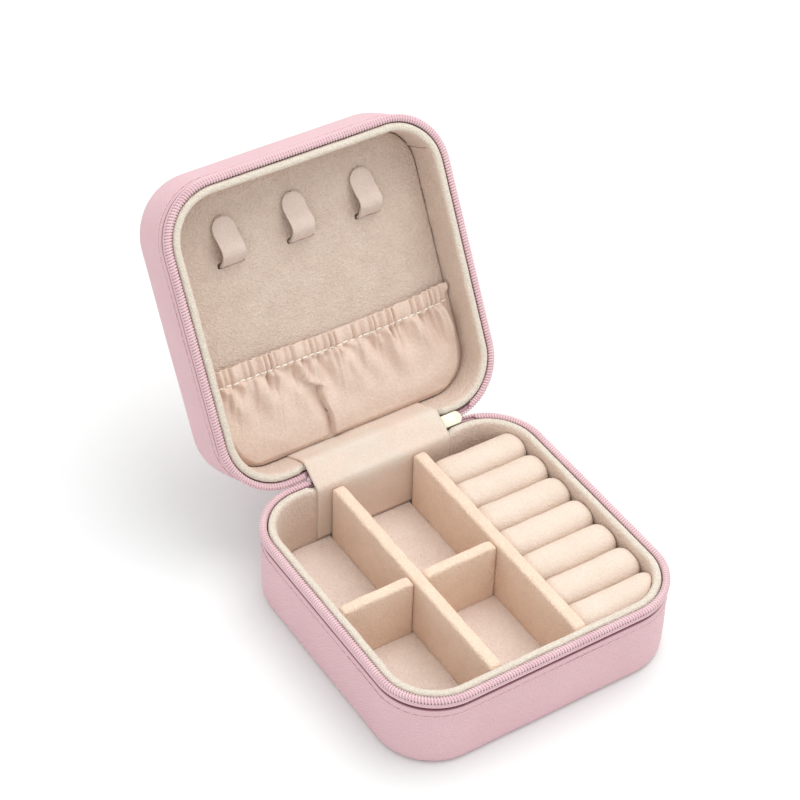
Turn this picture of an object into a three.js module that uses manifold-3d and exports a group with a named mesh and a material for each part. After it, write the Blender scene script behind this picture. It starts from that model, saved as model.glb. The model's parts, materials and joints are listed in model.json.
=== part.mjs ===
// Zip-round travel jewellery case, standing open. Millimetres, +Z up.
// The origin is the centre of the base's underside. +X runs along the hinge, and the hinge is at +Y.
import * as THREE from "three";
import { mergeVertices } from "three/addons/utils/BufferGeometryUtils.js";
import Module from "manifold-3d";

const wasm = await Module();
wasm.setup();

// Outside of the case
const WIDTH = 100;
const DEPTH = 100;
const CORNER_R = 19; // upright outside corners
const PARTING_Z = 28; // where the two halves meet
const LID_HEIGHT = 26; // from the parting plane to the lid's outside
const BASE_FILLET = 2.5;
const LID_FILLET = 6;
const BASE_HEM = 4.8; // from the parting plane to the edge of the base's leather
const LID_HEM = 4.1;
const FAR = 200; // longer than the case, for cutting tools

// Hinge
const HINGE_Y = DEPTH / 2 + 0.2;
const OPEN_ANGLE = THREE.MathUtils.degToRad(118);
const FLAP_HALF = 24.5; // half the width of the fabric hinge

// Sheets and gaps
const GAP = 0.3;
const RIM_GAP = 0.15; // each half stops this far short of the parting plane
const LEATHER = 0.8;
const BOARD = 1.5;
const BOARD_WALL = 1;
const BOARD_INSET = 1.8;
const TAPE_INSET = 1.1;
const TAPE = 0.4;
const TAPE_TOP = 2.4; // the tape's edge, below the parting plane
const TAPE_DEPTH = 11;
const COIL_INSET = 0.2;
const COIL_WIDTH = 1.6;
const COIL_HEIGHT = 1.3;
const LIP_INSET = 2.1; // outside of the padded lip
const LINER_INSET = 4.8; // inside face of the padded wall
const LINER_WALL = 1.7; // thickness of the padded wall below its lip
const LIP_ROUND = 1.2;
const LIP_DROP = 6; // height of the thick lip over the thinner wall
const FLAP = 0.5;
const FLAP_SINK = 1.1; // the lips are lower by this under the flap
const FLAP_TO_RIM = 1.65; // each half's flap ends this far below the parting plane
const HINGE_LEATHER_HALF = 22.3;
const BACK_CUT = 8; // depth of the cuts through the back of a ring
const FLOOR_Z = 5.7; // top of the floor pad
const PANEL_DEPTH = 13.2; // lid panel, from the parting plane
const PANEL = 2;
const BOARD_ROUND = { base: 1, lid: 4.5 }; // lower edges of the boards
const FOAM_INSET = 3.6;
const FOAM_ROUND = 3.2;

// Dividers and ring rolls
const DIVIDER = 4;
const DIVIDER_TOP = 27;
const CROSS_DIVIDER = 3.6;
const DIVIDER_EDGE = 0.36; // rounding of a divider's edges, as a share of its thickness
const DIVIDER_CORNER_R = 2.2;
const LEFT_DIVIDER_X = -17.9;
const RIGHT_DIVIDER_X = 12.2;
const CROSS_Y = -2.2;
const ROLLS = 7;
const ROLL_PITCH = 12.2;
const ROLL_R = 6;
const ROLL_Z = 20.3;
const ROLL_END_X = 44.6;
const ROLL_EDGE = 1.6;
const ROLL_SIDES = 16;
const ROLLS_Y = -2; // the middle roll
const INNER_BACK_Y = 43.9; // clear of the flap on the back wall
const INNER_FRONT_Y = -44.9;

// Lid fittings, in the lid's own frame: y from the hinge (negative), height from the parting plane
const HOOK_X = [-25.6, -0.8, 24];
const HOOK_WIDTH = 7.8;
const HOOK_ROOT_Y = -70;
const HOOK_REACH = 15.6; // from the slit to the tip
const HOOK_STEPS = 20;
// y from the slit, and height over the panel's face, from inside the slit to the tip
const HOOK_SIDE_VIEW = [
  [0, 1.9],
  [-0.3, -0.3],
  [-1.9, -2.2],
  [-3.7, -4],
  [-5.6, -4.2],
  [-7.6, -3],
  [-9.8, -1.8],
  [-12.2, -1.15],
  [-15.2, -0.9],
];
const STRAP = 1;
const SLIT = 2.2;
const POCKET_TOP_Y = -39.4;
const POCKET_OUT = 11.9; // height of the pocket cloth's back face
const POCKET_CLOTH = 0.8;
const POCKET_INSET = 5.8;
const POCKET_END_Y = -6.6;
const ELASTIC_HALF = 43.5;
const ELASTIC_WIDTH = 4.4;
const ELASTIC_DROP = 0.6; // from the pocket's edge to the elastic

// Zip slider, in its own frame: n is out of the case's inside, t across the zip
const SLIDER_X = 28.2;
const SLIDER_LENGTH = 7.6;
const SLIDER_PLATE = 4.2; // width of the inner plate
const SLIDER_NOSE = 1.6;
const SLIDER_CHAMFER = 0.7;
const INNER_PLATE_N = [-1.55, -1.05];
const OUTER_PLATE_N = [1.7, 2.5];
const OUTER_PLATE_HALF = 1.2;
const POST = { back: 3.4, front: 1, half: 0.4 }; // behind the nose, and half its thickness
const BAIL_N = 4.2; // the bail's bar, outside the hinge line
const BAIL_HALF = 2.9;
const BAIL_WIRE = 0.8;
const BAIL_DEPTH = 0.5; // half the bail's width across the zip
const PULL_LENGTH = 18;
const PULL_RING = { outer: 1.5, inner: 0.9, width: 1.4 };
const PULL_NECK = { half: 0.7, thin: 0.4, from: 1.2, to: 3 };
const PULL_HALF = 2.4;
const PULL_SHOULDER = { half: 1.2, drop: 2.2, top: 2.6 };
const PULL_BLADE = 1;
const STOP = [1.5, 1.8, 1.8];
const STOP_X = 23.4;
const COIL_END_X = 35.6; // the coils start where the slider's travel ends

const ARC = 6; // segments in a quarter of an outline
const BEVEL_STEPS = 2;

const paint = (color, roughness, metalness = 0) =>
  new THREE.MeshStandardMaterial({ color, roughness, metalness });
const leather = paint(0xe3bcc4, 0.55);
const velvet = paint(0xe9d0c0, 0.95);
const padVelvet = paint(0xeed6cc, 0.95);
const lipVelvet = paint(0xebe3d6, 0.95);
const board = paint(0xb9a58d, 0.9);
const foam = paint(0xf4efe4, 0.95);
const tapeWeave = paint(0xe6b9c6, 0.8);
const nylon = paint(0xe3aebf, 0.45);
const elastic = paint(0xf6f2ec, 0.8);
const enamel = paint(0xf6efdc, 0.35, 0.6);

// ---- Solids: join and cut closed geometries ----

const solid = (geometry) => {
  const bare = geometry.index ? geometry.toNonIndexed() : geometry.clone();
  bare.deleteAttribute("normal");
  bare.deleteAttribute("uv");
  const merged = mergeVertices(bare, 1e-4);
  return new wasm.Manifold(
    new wasm.Mesh({
      numProp: 3,
      vertProperties: merged.attributes.position.array,
      triVerts: new Uint32Array(merged.index.array),
    }),
  );
};

const geometryOf = (manifold) => {
  const { vertProperties, triVerts } = manifold.getMesh();
  const geometry = new THREE.BufferGeometry()
    .setAttribute("position", new THREE.BufferAttribute(vertProperties, 3))
    .setIndex(new THREE.BufferAttribute(triVerts, 1));
  geometry.computeVertexNormals();
  return geometry;
};

const cut = (geometry, ...tools) =>
  geometryOf(tools.reduce((left, tool) => left.subtract(solid(tool)), solid(geometry)));

const join = (...pieces) =>
  geometryOf(pieces.map(solid).reduce((whole, piece) => whole.add(piece)));

const common = (a, b) => geometryOf(solid(a).intersect(solid(b)));

// A box given by its lowest and highest corners
const block = ([x0, y0, z0], [x1, y1, z1]) =>
  new THREE.BoxGeometry(x1 - x0, y1 - y0, z1 - z0).translate(
    (x0 + x1) / 2,
    (y0 + y1) / 2,
    (z0 + z1) / 2,
  );

// ---- Outlines of the case ----

// Adds the case's rounded square, moved in by `inset`, to a shape or a hole
const traceOutline = (path, inset) => {
  const x = WIDTH / 2 - inset;
  const y = DEPTH / 2 - inset;
  const r = CORNER_R - inset;
  path.moveTo(x, -y + r);
  path.lineTo(x, y - r);
  path.absarc(x - r, y - r, r, 0, Math.PI / 2);
  path.lineTo(-x + r, y);
  path.absarc(-x + r, y - r, r, Math.PI / 2, Math.PI);
  path.lineTo(-x, -y + r);
  path.absarc(-x + r, -y + r, r, Math.PI, Math.PI * 1.5);
  path.lineTo(x - r, -y);
  path.absarc(x - r, -y + r, r, Math.PI * 1.5, Math.PI * 2);
  return path;
};

const plate = (inset, z0, z1) =>
  new THREE.ExtrudeGeometry(traceOutline(new THREE.Shape(), inset), {
    depth: z1 - z0,
    bevelEnabled: false,
    curveSegments: ARC,
  }).translate(0, 0, z0);

// A plate whose lower and upper edges are rounded
const softPlate = (inset, z0, z1, round, bevelSegments = BEVEL_STEPS) =>
  new THREE.ExtrudeGeometry(traceOutline(new THREE.Shape(), inset), {
    depth: z1 - z0 - 2 * round,
    bevelThickness: round,
    bevelSize: round,
    bevelOffset: -round,
    bevelSegments,
    curveSegments: ARC,
  }).translate(0, 0, z0 + round);

// A wall that follows the outline, between two insets
const band = (outer, inner, z0, z1) => cut(plate(outer, z0, z1), plate(inner, z0 - 1, z1 + 1));

// A tray open at z1, with rounded bottom edges
const tray = (inset, wall, floor, z0, z1, round, steps) => {
  const outside = softPlate(inset, z0, z1 + 2 * round, round, steps);
  const innerRound = Math.max(round - wall, 0.3);
  const inside = softPlate(inset + wall, z0 + floor, z1 + 2 * round + 2, innerRound, steps);
  const above = block([-WIDTH, -DEPTH, z1], [WIDTH, DEPTH, FAR]);
  return cut(outside, inside, above);
};

// The same piece for the lid: its closed side is up, left and right change places,
// and the outline's back edge is at the hinge
const turnOver = (geometry) => geometry.rotateY(Math.PI).translate(0, -HINGE_Y, 0);

// Cuts away the back of a ring between two places along the hinge
const openBack = (ring, x0, x1) =>
  cut(ring, block([x0, DEPTH / 2 - BACK_CUT, -FAR], [x1, DEPTH, FAR]));

// ---- Pieces that the base and the lid share, drawn with the parting plane at z = 0, opening up ----

const coverOf = (height, hem, fillet, steps) =>
  tray(0, LEATHER, LEATHER, -height, -hem, fillet, steps);

const boardOf = (height, fillet, steps) =>
  tray(BOARD_INSET, BOARD_WALL, BOARD, -height + LEATHER + GAP, -LIP_DROP - GAP, fillet, steps);

// A wall whose upper and lower edges are rounded both outside and inside
const softBand = (outer, inner, z0, z1, round) => {
  const ring = traceOutline(new THREE.Shape(), outer);
  ring.holes.push(traceOutline(new THREE.Path(), inner));
  return new THREE.ExtrudeGeometry(ring, {
    depth: z1 - z0 - 2 * round,
    bevelThickness: round,
    bevelSize: round,
    bevelOffset: -round,
    bevelSegments: BEVEL_STEPS,
    curveSegments: ARC,
  }).translate(0, 0, z0 + round);
};

// The padded wall: thin behind, where the board is, and a thick rounded lip above it
const linerOf = (bottom) => {
  const lip = softBand(LIP_INSET, LINER_INSET, -LIP_DROP, -RIM_GAP, LIP_ROUND);
  const wall = band(LINER_INSET - LINER_WALL, LINER_INSET, bottom, -LIP_DROP / 2);
  const underFlap = block(
    [-FLAP_HALF - GAP, DEPTH / 2 - BACK_CUT, -RIM_GAP - FLAP_SINK],
    [FLAP_HALF + GAP, DEPTH / 2, FAR],
  );
  return cut(join(lip, wall), underFlap);
};

const tapeOf = () =>
  openBack(
    band(TAPE_INSET, TAPE_INSET + TAPE, -TAPE_TOP - TAPE_DEPTH, -TAPE_TOP),
    -FLAP_HALF,
    FLAP_HALF,
  );

const coilOf = (x0, x1) =>
  openBack(band(COIL_INSET, COIL_INSET + COIL_WIDTH, -RIM_GAP - COIL_HEIGHT, -RIM_GAP), x0, x1);

// Leather over the back of the hinge, from the hem to the hinge line
const hingeLeather = (hem) =>
  block(
    [-HINGE_LEATHER_HALF, DEPTH / 2 - LEATHER, -hem + GAP],
    [HINGE_LEATHER_HALF, DEPTH / 2, -GAP],
  );

// The flap's stretch on one half's back wall
const wallFlap = (bottom) => {
  const face = DEPTH / 2 - LINER_INSET - GAP;
  return block([-FLAP_HALF, face - FLAP, bottom], [FLAP_HALF, face, -FLAP_TO_RIM]);
};

// ---- Pieces of the base ----

// A board on edge with rounded edges, standing on the floor pad, along X
const standingBoard = (length, thickness) => {
  const round = thickness * DIVIDER_EDGE;
  const height = DIVIDER_TOP - FLOOR_Z - GAP;
  const r = DIVIDER_CORNER_R;
  const side = new THREE.Shape()
    .moveTo(-length / 2, 0)
    .lineTo(length / 2, 0)
    .lineTo(length / 2, height - r)
    .absarc(length / 2 - r, height - r, r, 0, Math.PI / 2)
    .lineTo(-length / 2 + r, height)
    .absarc(-length / 2 + r, height - r, r, Math.PI / 2, Math.PI);
  return new THREE.ExtrudeGeometry(side, {
    depth: thickness - 2 * round,
    bevelThickness: round,
    bevelSize: round,
    bevelOffset: -round,
    bevelSegments: BEVEL_STEPS,
    curveSegments: ARC,
  })
    .translate(0, 0, -thickness / 2 + round)
    .rotateX(Math.PI / 2);
};

const ringTrayGeometry = () => {
  const x0 = RIGHT_DIVIDER_X + DIVIDER / 2 + GAP;
  const z1 = ROLL_Z - ROLL_R - GAP;
  const full = plate(LINER_INSET + GAP, FLOOR_Z + GAP, z1);
  return common(full, block([x0, INNER_FRONT_Y, 0], [WIDTH / 2, INNER_BACK_Y, FAR]));
};

// A roll along X, its ends rounded over, trimmed to the corners of the case
const rollGeometry = (y) => {
  const x0 = RIGHT_DIVIDER_X + DIVIDER / 2 + GAP;
  const length = ROLL_END_X - x0;
  const arc = [0, 0.5, 1].map((s) => {
    const a = (s * Math.PI) / 2;
    return [ROLL_R - ROLL_EDGE + ROLL_EDGE * Math.sin(a), ROLL_EDGE - ROLL_EDGE * Math.cos(a)];
  });
  const profile = [
    [0, 0],
    ...arc,
    ...arc.map(([r, h]) => [r, length - h]).reverse(),
    [0, length],
  ].map(([r, h]) => new THREE.Vector2(r, h));
  const roll = new THREE.LatheGeometry(profile, ROLL_SIDES)
    .rotateZ(-Math.PI / 2)
    .translate(x0, y, ROLL_Z);
  return common(roll, plate(LINER_INSET + GAP, FLOOR_Z, PARTING_Z));
};

// ---- Pieces of the lid, in its own frame ----

// The strap's side view, y against height, with half its thickness on either side
const strapOutline = () => {
  const middle = new THREE.CatmullRomCurve3(
    HOOK_SIDE_VIEW.map(([y, h]) => new THREE.Vector3(y, PANEL_DEPTH + h, 0)),
  ).getPoints(HOOK_STEPS);
  const side = middle.map((_, i) => {
    const next = middle[Math.min(i + 1, HOOK_STEPS)];
    const along = next.clone().sub(middle[Math.max(i - 1, 0)]);
    return new THREE.Vector2(-along.y, along.x).normalize().multiplyScalar(STRAP / 2);
  });
  return new THREE.Shape([
    ...middle.map((p, i) => new THREE.Vector2(p.x, p.y).add(side[i])),
    ...middle.map((p, i) => new THREE.Vector2(p.x, p.y).sub(side[i])).reverse(),
  ]);
};

const hookGeometry = () => {
  const toLid = new THREE.Matrix4().set(0, 0, 1, 0, 1, 0, 0, 0, 0, 1, 0, 0, 0, 0, 0, 1);
  const strap = new THREE.ExtrudeGeometry(strapOutline(), { depth: HOOK_WIDTH, bevelEnabled: false })
    .translate(0, 0, -HOOK_WIDTH / 2)
    .applyMatrix4(toLid);
  // The tip is half round, seen from the front
  const r = HOOK_WIDTH / 2;
  const front = new THREE.Shape()
    .moveTo(-r, HOOK_WIDTH)
    .lineTo(-r, -HOOK_REACH + r)
    .absarc(0, -HOOK_REACH + r, r, Math.PI, Math.PI * 2)
    .lineTo(r, HOOK_WIDTH);
  const keep = new THREE.ExtrudeGeometry(front, {
    depth: FAR,
    bevelEnabled: false,
    curveSegments: ARC,
  }).translate(0, 0, -FAR / 2);
  return common(strap, keep);
};

const panelGeometry = () => {
  const full = turnOver(plate(LINER_INSET + GAP, -PANEL_DEPTH - PANEL, -PANEL_DEPTH));
  const slits = HOOK_X.map((x) =>
    new THREE.BoxGeometry(HOOK_WIDTH + 2 * GAP, SLIT, 3 * PANEL).translate(
      x,
      HOOK_ROOT_Y,
      PANEL_DEPTH + PANEL / 2,
    ),
  );
  return cut(full, ...slits);
};

const linerRingForLid = () => turnOver(linerOf(-PANEL_DEPTH - PANEL));

// Gathered cloth over the hinge end of the panel, proud of it by a finger's slack
const pocketGeometry = () => {
  const out = turnOver(plate(POCKET_INSET, -POCKET_OUT, -POCKET_OUT + POCKET_CLOTH));
  return common(out, block([-WIDTH, POCKET_TOP_Y, 0], [WIDTH, POCKET_END_Y, FAR]));
};

const elasticGeometry = () => {
  const edge = POCKET_TOP_Y + ELASTIC_DROP;
  return block(
    [-ELASTIC_HALF, edge, POCKET_OUT + GAP],
    [ELASTIC_HALF, edge + ELASTIC_WIDTH, PANEL_DEPTH - GAP],
  );
};

// ---- Zip slider: inner plate, outer plate, post and bail; n is +y, t is z ----

const sliderGeometry = () => {
  const half = SLIDER_LENGTH / 2;
  const side = SLIDER_PLATE / 2;
  const face = new THREE.Shape()
    .moveTo(-half, -side + SLIDER_CHAMFER)
    .lineTo(-half + SLIDER_CHAMFER, -side)
    .lineTo(half - SLIDER_NOSE, -side)
    .quadraticCurveTo(half, -side, half, 0)
    .quadraticCurveTo(half, side, half - SLIDER_NOSE, side)
    .lineTo(-half + SLIDER_CHAMFER, side)
    .lineTo(-half, side - SLIDER_CHAMFER);
  const inner = new THREE.ExtrudeGeometry(face, {
    depth: INNER_PLATE_N[1] - INNER_PLATE_N[0],
    bevelEnabled: false,
    curveSegments: ARC,
  })
    .rotateX(Math.PI / 2)
    .translate(0, INNER_PLATE_N[1], 0);
  const outer = block(
    [-half, OUTER_PLATE_N[0], -OUTER_PLATE_HALF],
    [half, OUTER_PLATE_N[1], OUTER_PLATE_HALF],
  );
  const post = block(
    [half - POST.back, INNER_PLATE_N[1] - GAP / 2, -POST.half],
    [half - POST.front, OUTER_PLATE_N[0] + GAP / 2, POST.half],
  );
  const foot = OUTER_PLATE_N[1];
  const top = BAIL_N + BAIL_WIRE / 2;
  const arch = cut(
    block([-BAIL_HALF, foot - GAP / 2, -BAIL_DEPTH], [BAIL_HALF, top, BAIL_DEPTH]),
    block([-BAIL_HALF + BAIL_WIRE, foot, -FAR], [BAIL_HALF - BAIL_WIRE, top - BAIL_WIRE, FAR]),
  );
  return join(inner, outer, post, arch);
};

// The pull hangs from a ring round the bail's bar; here the bar's centre is the origin, -Z is down
const pullGeometry = () => {
  const ring = new THREE.Shape().absarc(0, 0, PULL_RING.outer, 0, Math.PI * 2);
  ring.holes.push(new THREE.Path().absarc(0, 0, PULL_RING.inner, 0, Math.PI * 2));
  const eye = new THREE.ExtrudeGeometry(ring, {
    depth: PULL_RING.width,
    bevelEnabled: false,
    curveSegments: ARC + BEVEL_STEPS,
  })
    .translate(0, 0, -PULL_RING.width / 2)
    .rotateY(Math.PI / 2);
  const neck = block(
    [-PULL_NECK.half, -PULL_NECK.thin, -PULL_NECK.to],
    [PULL_NECK.half, PULL_NECK.thin, -PULL_NECK.from],
  );
  const r = PULL_HALF;
  const end = PULL_RING.outer * 2 - PULL_LENGTH + r;
  const blade = new THREE.Shape()
    .moveTo(-PULL_SHOULDER.half, 0)
    .lineTo(-r, -PULL_SHOULDER.drop)
    .lineTo(-r, end)
    .absarc(0, end, r, Math.PI, Math.PI * 2)
    .lineTo(r, -PULL_SHOULDER.drop)
    .lineTo(PULL_SHOULDER.half, 0);
  const tab = new THREE.ExtrudeGeometry(blade, {
    depth: PULL_BLADE,
    bevelEnabled: false,
    curveSegments: ARC,
  })
    .translate(0, 0, -PULL_BLADE / 2)
    .rotateX(Math.PI / 2)
    .translate(0, 0, -PULL_SHOULDER.top);
  return join(eye, neck, tab);
};

// ---- The assembly ----

const piece = (name, geometry, material, position = [0, 0, 0]) => {
  const mesh = new THREE.Mesh(geometry, material);
  mesh.name = name;
  mesh.position.set(...position);
  return mesh;
};

function baseHalf() {
  const group = new THREE.Group();
  const atRim = [0, 0, PARTING_Z];
  const liner = linerOf(-PARTING_Z + LEATHER + BOARD + 2 * GAP);
  group.add(
    piece("base_cover", coverOf(PARTING_Z, BASE_HEM, BASE_FILLET, BEVEL_STEPS), leather, atRim),
    piece("base_board", boardOf(PARTING_Z, BOARD_ROUND.base, 1), board, atRim),
    piece("base_wall_liner", liner, lipVelvet, atRim),
    piece("base_zip_tape", tapeOf(), tapeWeave, atRim),
    piece("base_zip_coil", coilOf(-FLAP_HALF - GAP, COIL_END_X), nylon, atRim),
    piece("base_hinge_leather", hingeLeather(BASE_HEM), leather, atRim),
    piece("base_hinge_flap", wallFlap(FLOOR_Z + GAP - PARTING_Z), lipVelvet, atRim),
    piece("floor_pad", plate(LINER_INSET + GAP, LEATHER + BOARD + 2 * GAP, FLOOR_Z), padVelvet),
  );
  return group;
}

function dividers() {
  const group = new THREE.Group();
  const wallX = WIDTH / 2 - LINER_INSET - GAP;
  const length = INNER_BACK_Y - INNER_FRONT_Y;
  const middleY = (INNER_BACK_Y + INNER_FRONT_Y) / 2;
  const footZ = FLOOR_Z + GAP;
  const long = (name, x) => {
    const mesh = piece(name, standingBoard(length, DIVIDER), velvet, [x, middleY, footZ]);
    mesh.rotation.z = Math.PI / 2;
    return mesh;
  };
  const across = (name, x0, x1) =>
    piece(name, standingBoard(x1 - x0, CROSS_DIVIDER), velvet, [(x0 + x1) / 2, CROSS_Y, footZ]);
  const side = DIVIDER / 2 + GAP;
  group.add(
    long("divider_left", LEFT_DIVIDER_X),
    long("divider_right", RIGHT_DIVIDER_X),
    across("cross_divider_left", -wallX, LEFT_DIVIDER_X - side),
    across("cross_divider_right", LEFT_DIVIDER_X + side, RIGHT_DIVIDER_X - side),
  );
  return group;
}

function ringCushion() {
  const group = new THREE.Group();
  group.add(piece("ring_tray", ringTrayGeometry(), velvet));
  for (let i = 0; i < ROLLS; i++) {
    const y = ROLLS_Y + ((ROLLS - 1) / 2 - i) * ROLL_PITCH;
    group.add(piece(`ring_roll_${i + 1}`, rollGeometry(y), padVelvet));
  }
  return group;
}

function lidHalf() {
  const group = new THREE.Group();
  const foamTop = LID_HEIGHT - LEATHER - BOARD - 2 * GAP;
  const foamBlock = turnOver(plate(FOAM_INSET, -foamTop, -PANEL_DEPTH - PANEL - GAP));
  const roundedEnd = turnOver(softPlate(FOAM_INSET, -foamTop, 0, FOAM_ROUND));
  group.add(
    piece("lid_cover", turnOver(coverOf(LID_HEIGHT, LID_HEM, LID_FILLET, 3)), leather),
    piece("lid_board", turnOver(boardOf(LID_HEIGHT, BOARD_ROUND.lid, BEVEL_STEPS)), board),
    piece("lid_foam", common(foamBlock, roundedEnd), foam),
    piece("lid_panel", panelGeometry(), velvet),
    piece("lid_wall_liner", linerRingForLid(), lipVelvet),
    piece("lid_zip_tape", turnOver(tapeOf()), tapeWeave),
    piece("lid_zip_coil", turnOver(coilOf(-COIL_END_X, FLAP_HALF + GAP)), nylon),
    piece("lid_hinge_leather", turnOver(hingeLeather(LID_HEM)), leather),
    piece("lid_hinge_flap", turnOver(wallFlap(-PANEL_DEPTH + GAP)), lipVelvet),
    piece("pocket_cloth", pocketGeometry(), velvet),
    piece("pocket_elastic", elasticGeometry(), elastic),
  );
  HOOK_X.forEach((x, i) => {
    group.add(piece(`hook_${i + 1}`, hookGeometry(), velvet, [x, HOOK_ROOT_Y, 0]));
  });
  group.position.set(0, HINGE_Y, PARTING_Z);
  group.rotation.x = -OPEN_ANGLE;
  return group;
}

// The ends of the zip fold half as far as the lid, so they face out along the bisector
function zipEnds() {
  const group = new THREE.Group();
  group.add(
    piece("zip_stop_left", new THREE.BoxGeometry(...STOP), nylon, [-STOP_X, 0, 0]),
    piece("zip_stop_right", new THREE.BoxGeometry(...STOP), nylon, [STOP_X, 0, 0]),
    piece("slider_body", sliderGeometry(), enamel, [SLIDER_X, 0, 0]),
  );
  const pull = piece("pull_tab", pullGeometry(), enamel, [SLIDER_X, BAIL_N, 0]);
  pull.rotation.x = OPEN_ANGLE / 2; // it hangs straight down
  group.add(pull);
  group.position.set(0, HINGE_Y, PARTING_Z);
  group.rotation.x = -OPEN_ANGLE / 2;
  return group;
}

const jewelleryCase = new THREE.Group();
jewelleryCase.name = "jewellery_case";
jewelleryCase.add(baseHalf(), dividers(), ringCushion(), lidHalf(), zipEnds());

export default jewelleryCase;
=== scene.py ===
import json
import math

import bmesh
import bpy
import numpy as np
from mathutils import Matrix, Vector


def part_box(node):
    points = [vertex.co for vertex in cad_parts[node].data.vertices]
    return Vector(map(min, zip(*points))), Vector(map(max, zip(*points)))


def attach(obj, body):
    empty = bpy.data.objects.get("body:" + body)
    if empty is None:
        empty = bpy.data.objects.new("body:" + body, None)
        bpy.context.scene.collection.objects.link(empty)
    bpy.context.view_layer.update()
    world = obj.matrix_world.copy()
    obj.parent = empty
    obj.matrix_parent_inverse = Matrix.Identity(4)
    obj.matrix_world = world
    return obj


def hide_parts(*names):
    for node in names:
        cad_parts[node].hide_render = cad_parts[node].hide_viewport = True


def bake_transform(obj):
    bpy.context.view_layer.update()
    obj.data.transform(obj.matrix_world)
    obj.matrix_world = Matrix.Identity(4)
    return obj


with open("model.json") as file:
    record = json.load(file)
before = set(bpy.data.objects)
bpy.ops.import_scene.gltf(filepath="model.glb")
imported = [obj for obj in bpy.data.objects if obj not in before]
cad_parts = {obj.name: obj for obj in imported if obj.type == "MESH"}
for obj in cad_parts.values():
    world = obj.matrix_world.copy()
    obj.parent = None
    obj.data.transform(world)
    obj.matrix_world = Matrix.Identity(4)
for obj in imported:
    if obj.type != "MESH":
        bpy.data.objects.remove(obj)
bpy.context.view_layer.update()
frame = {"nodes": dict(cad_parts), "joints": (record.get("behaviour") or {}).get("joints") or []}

# Lengths below are in millimetres until a mesh is made. "Inset" is the distance in from the case's
# outside, and each half is drawn with its rim at height 0 and its closed side below.
MM = 0.001


def box_mm(node):
    """A CAD node's lowest and highest corners at rest, in millimetres."""
    return [np.array(corner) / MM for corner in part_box(node)]


LID_HINGE = next(j for j in frame["joints"] if j["name"] == "lid_hinge")
HINGE = np.array(LID_HINGE["pos_m"]) / MM
OPEN_ANGLE = math.radians(LID_HINGE["range_deg"][1])
HALF_SIDE = box_mm("base_cover")[1][0]
BASE_HEIGHT = HINGE[2]
LID_HEIGHT = 26.0
CORNER_R = 19.0
STRAIGHT = 2 * (HALF_SIDE - CORNER_R)
ARC = CORNER_R * math.pi / 2
AROUND = 4 * (STRAIGHT + ARC)

BASE_HEM, LID_HEM = 4.6, 4.5  # from the rim to the edge of the leather
BASE_FILLET, LID_FILLET = 2.5, 6.0
LEATHER = 0.8
LINER_INSET = 4.9  # inside face of the padded wall
FLOOR_TOP = box_mm("floor_pad")[1][2]
PANEL_DEPTH = 13.2  # lid panel, from the rim
FLAP_HALF = 24.6
STRIP_HALF = 22.3  # half the width of the leather hinge strip
LIP_SINK = 1.1  # the lips lie lower by this under the flap
COIL_PITCH = 0.95
SLIDER_RUN = 3.8  # length of coil that the slider covers at the end of its travel
SLIDER_LENGTH = 8.5
STITCH_PITCH = 3.0
STITCH_DROP = 2.7  # from the edge of the leather to its stitches
WIRE_R = 0.37  # of the coil's filament
ROLL_R = 5.9
ROLL_PRESSED = 6.04  # half the width of a roll between its neighbours
SAME_POINT = 1e-6  # metres


# ---------------------------------------------------------------- geometry helpers


def smooth(t):
    """A smooth step from 0 to 1 as t goes from 0 to 1."""
    t = np.clip(t, 0.0, 1.0)
    return t * t * (3 - 2 * t)


def bump_at(distance, width):
    """A soft hump of height 1 at distance 0."""
    return np.exp(-((distance / width) ** 2))


def ripple(points, length, seed, terms=7):
    """Seeded unevenness of about -1 to 1 at each point, which varies over the given length."""
    rng = np.random.default_rng(seed)
    points = np.asarray(points, float)
    way = rng.normal(size=(terms, points.shape[-1]))
    way /= np.linalg.norm(way, axis=1, keepdims=True) * length * rng.uniform(0.7, 1.6, (terms, 1))
    phase = rng.uniform(0, 2 * math.pi, terms)
    return np.sin(2 * math.pi * points @ way.T + phase).sum(-1) / terms * 1.8


def curve(points, count):
    """Evenly spaced points on a Catmull-Rom curve through the given ones."""
    p = np.asarray(points, float)
    p = np.vstack([2 * p[0] - p[1], p, 2 * p[-1] - p[-2]])
    t = np.linspace(0, 1, 24, endpoint=False)[:, None]
    runs = []
    for a, b, c, d in zip(p, p[1:], p[2:], p[3:]):
        square, cube = 2 * a - 5 * b + 4 * c - d, 3 * b - a - 3 * c + d
        runs.append(0.5 * (2 * b + (c - a) * t + square * t**2 + cube * t**3))
    return respaced(np.vstack([*runs, p[-2:-1]]), count)


def lengths_along(points, closed=False):
    """Distance of each point from the first, along the line; a closed line also gets its whole length."""
    p = np.vstack([points, points[:1]]) if closed else points
    return np.concatenate([[0], np.cumsum(np.linalg.norm(np.diff(p, axis=0), axis=1))])


def unit(vectors):
    """The same directions with length 1."""
    return vectors / np.linalg.norm(vectors, axis=-1, keepdims=True)


def beside(line):
    """The normal of a flat line at each of its points."""
    along = unit(np.gradient(line, axis=0))
    return np.column_stack([-along[:, 1], along[:, 0]])


def respaced(points, count):
    """The same line with evenly spaced points."""
    at = lengths_along(points)
    want = np.linspace(0, at[-1], count)
    return np.stack([np.interp(want, at, points[:, k]) for k in range(points.shape[1])], axis=1)


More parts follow.
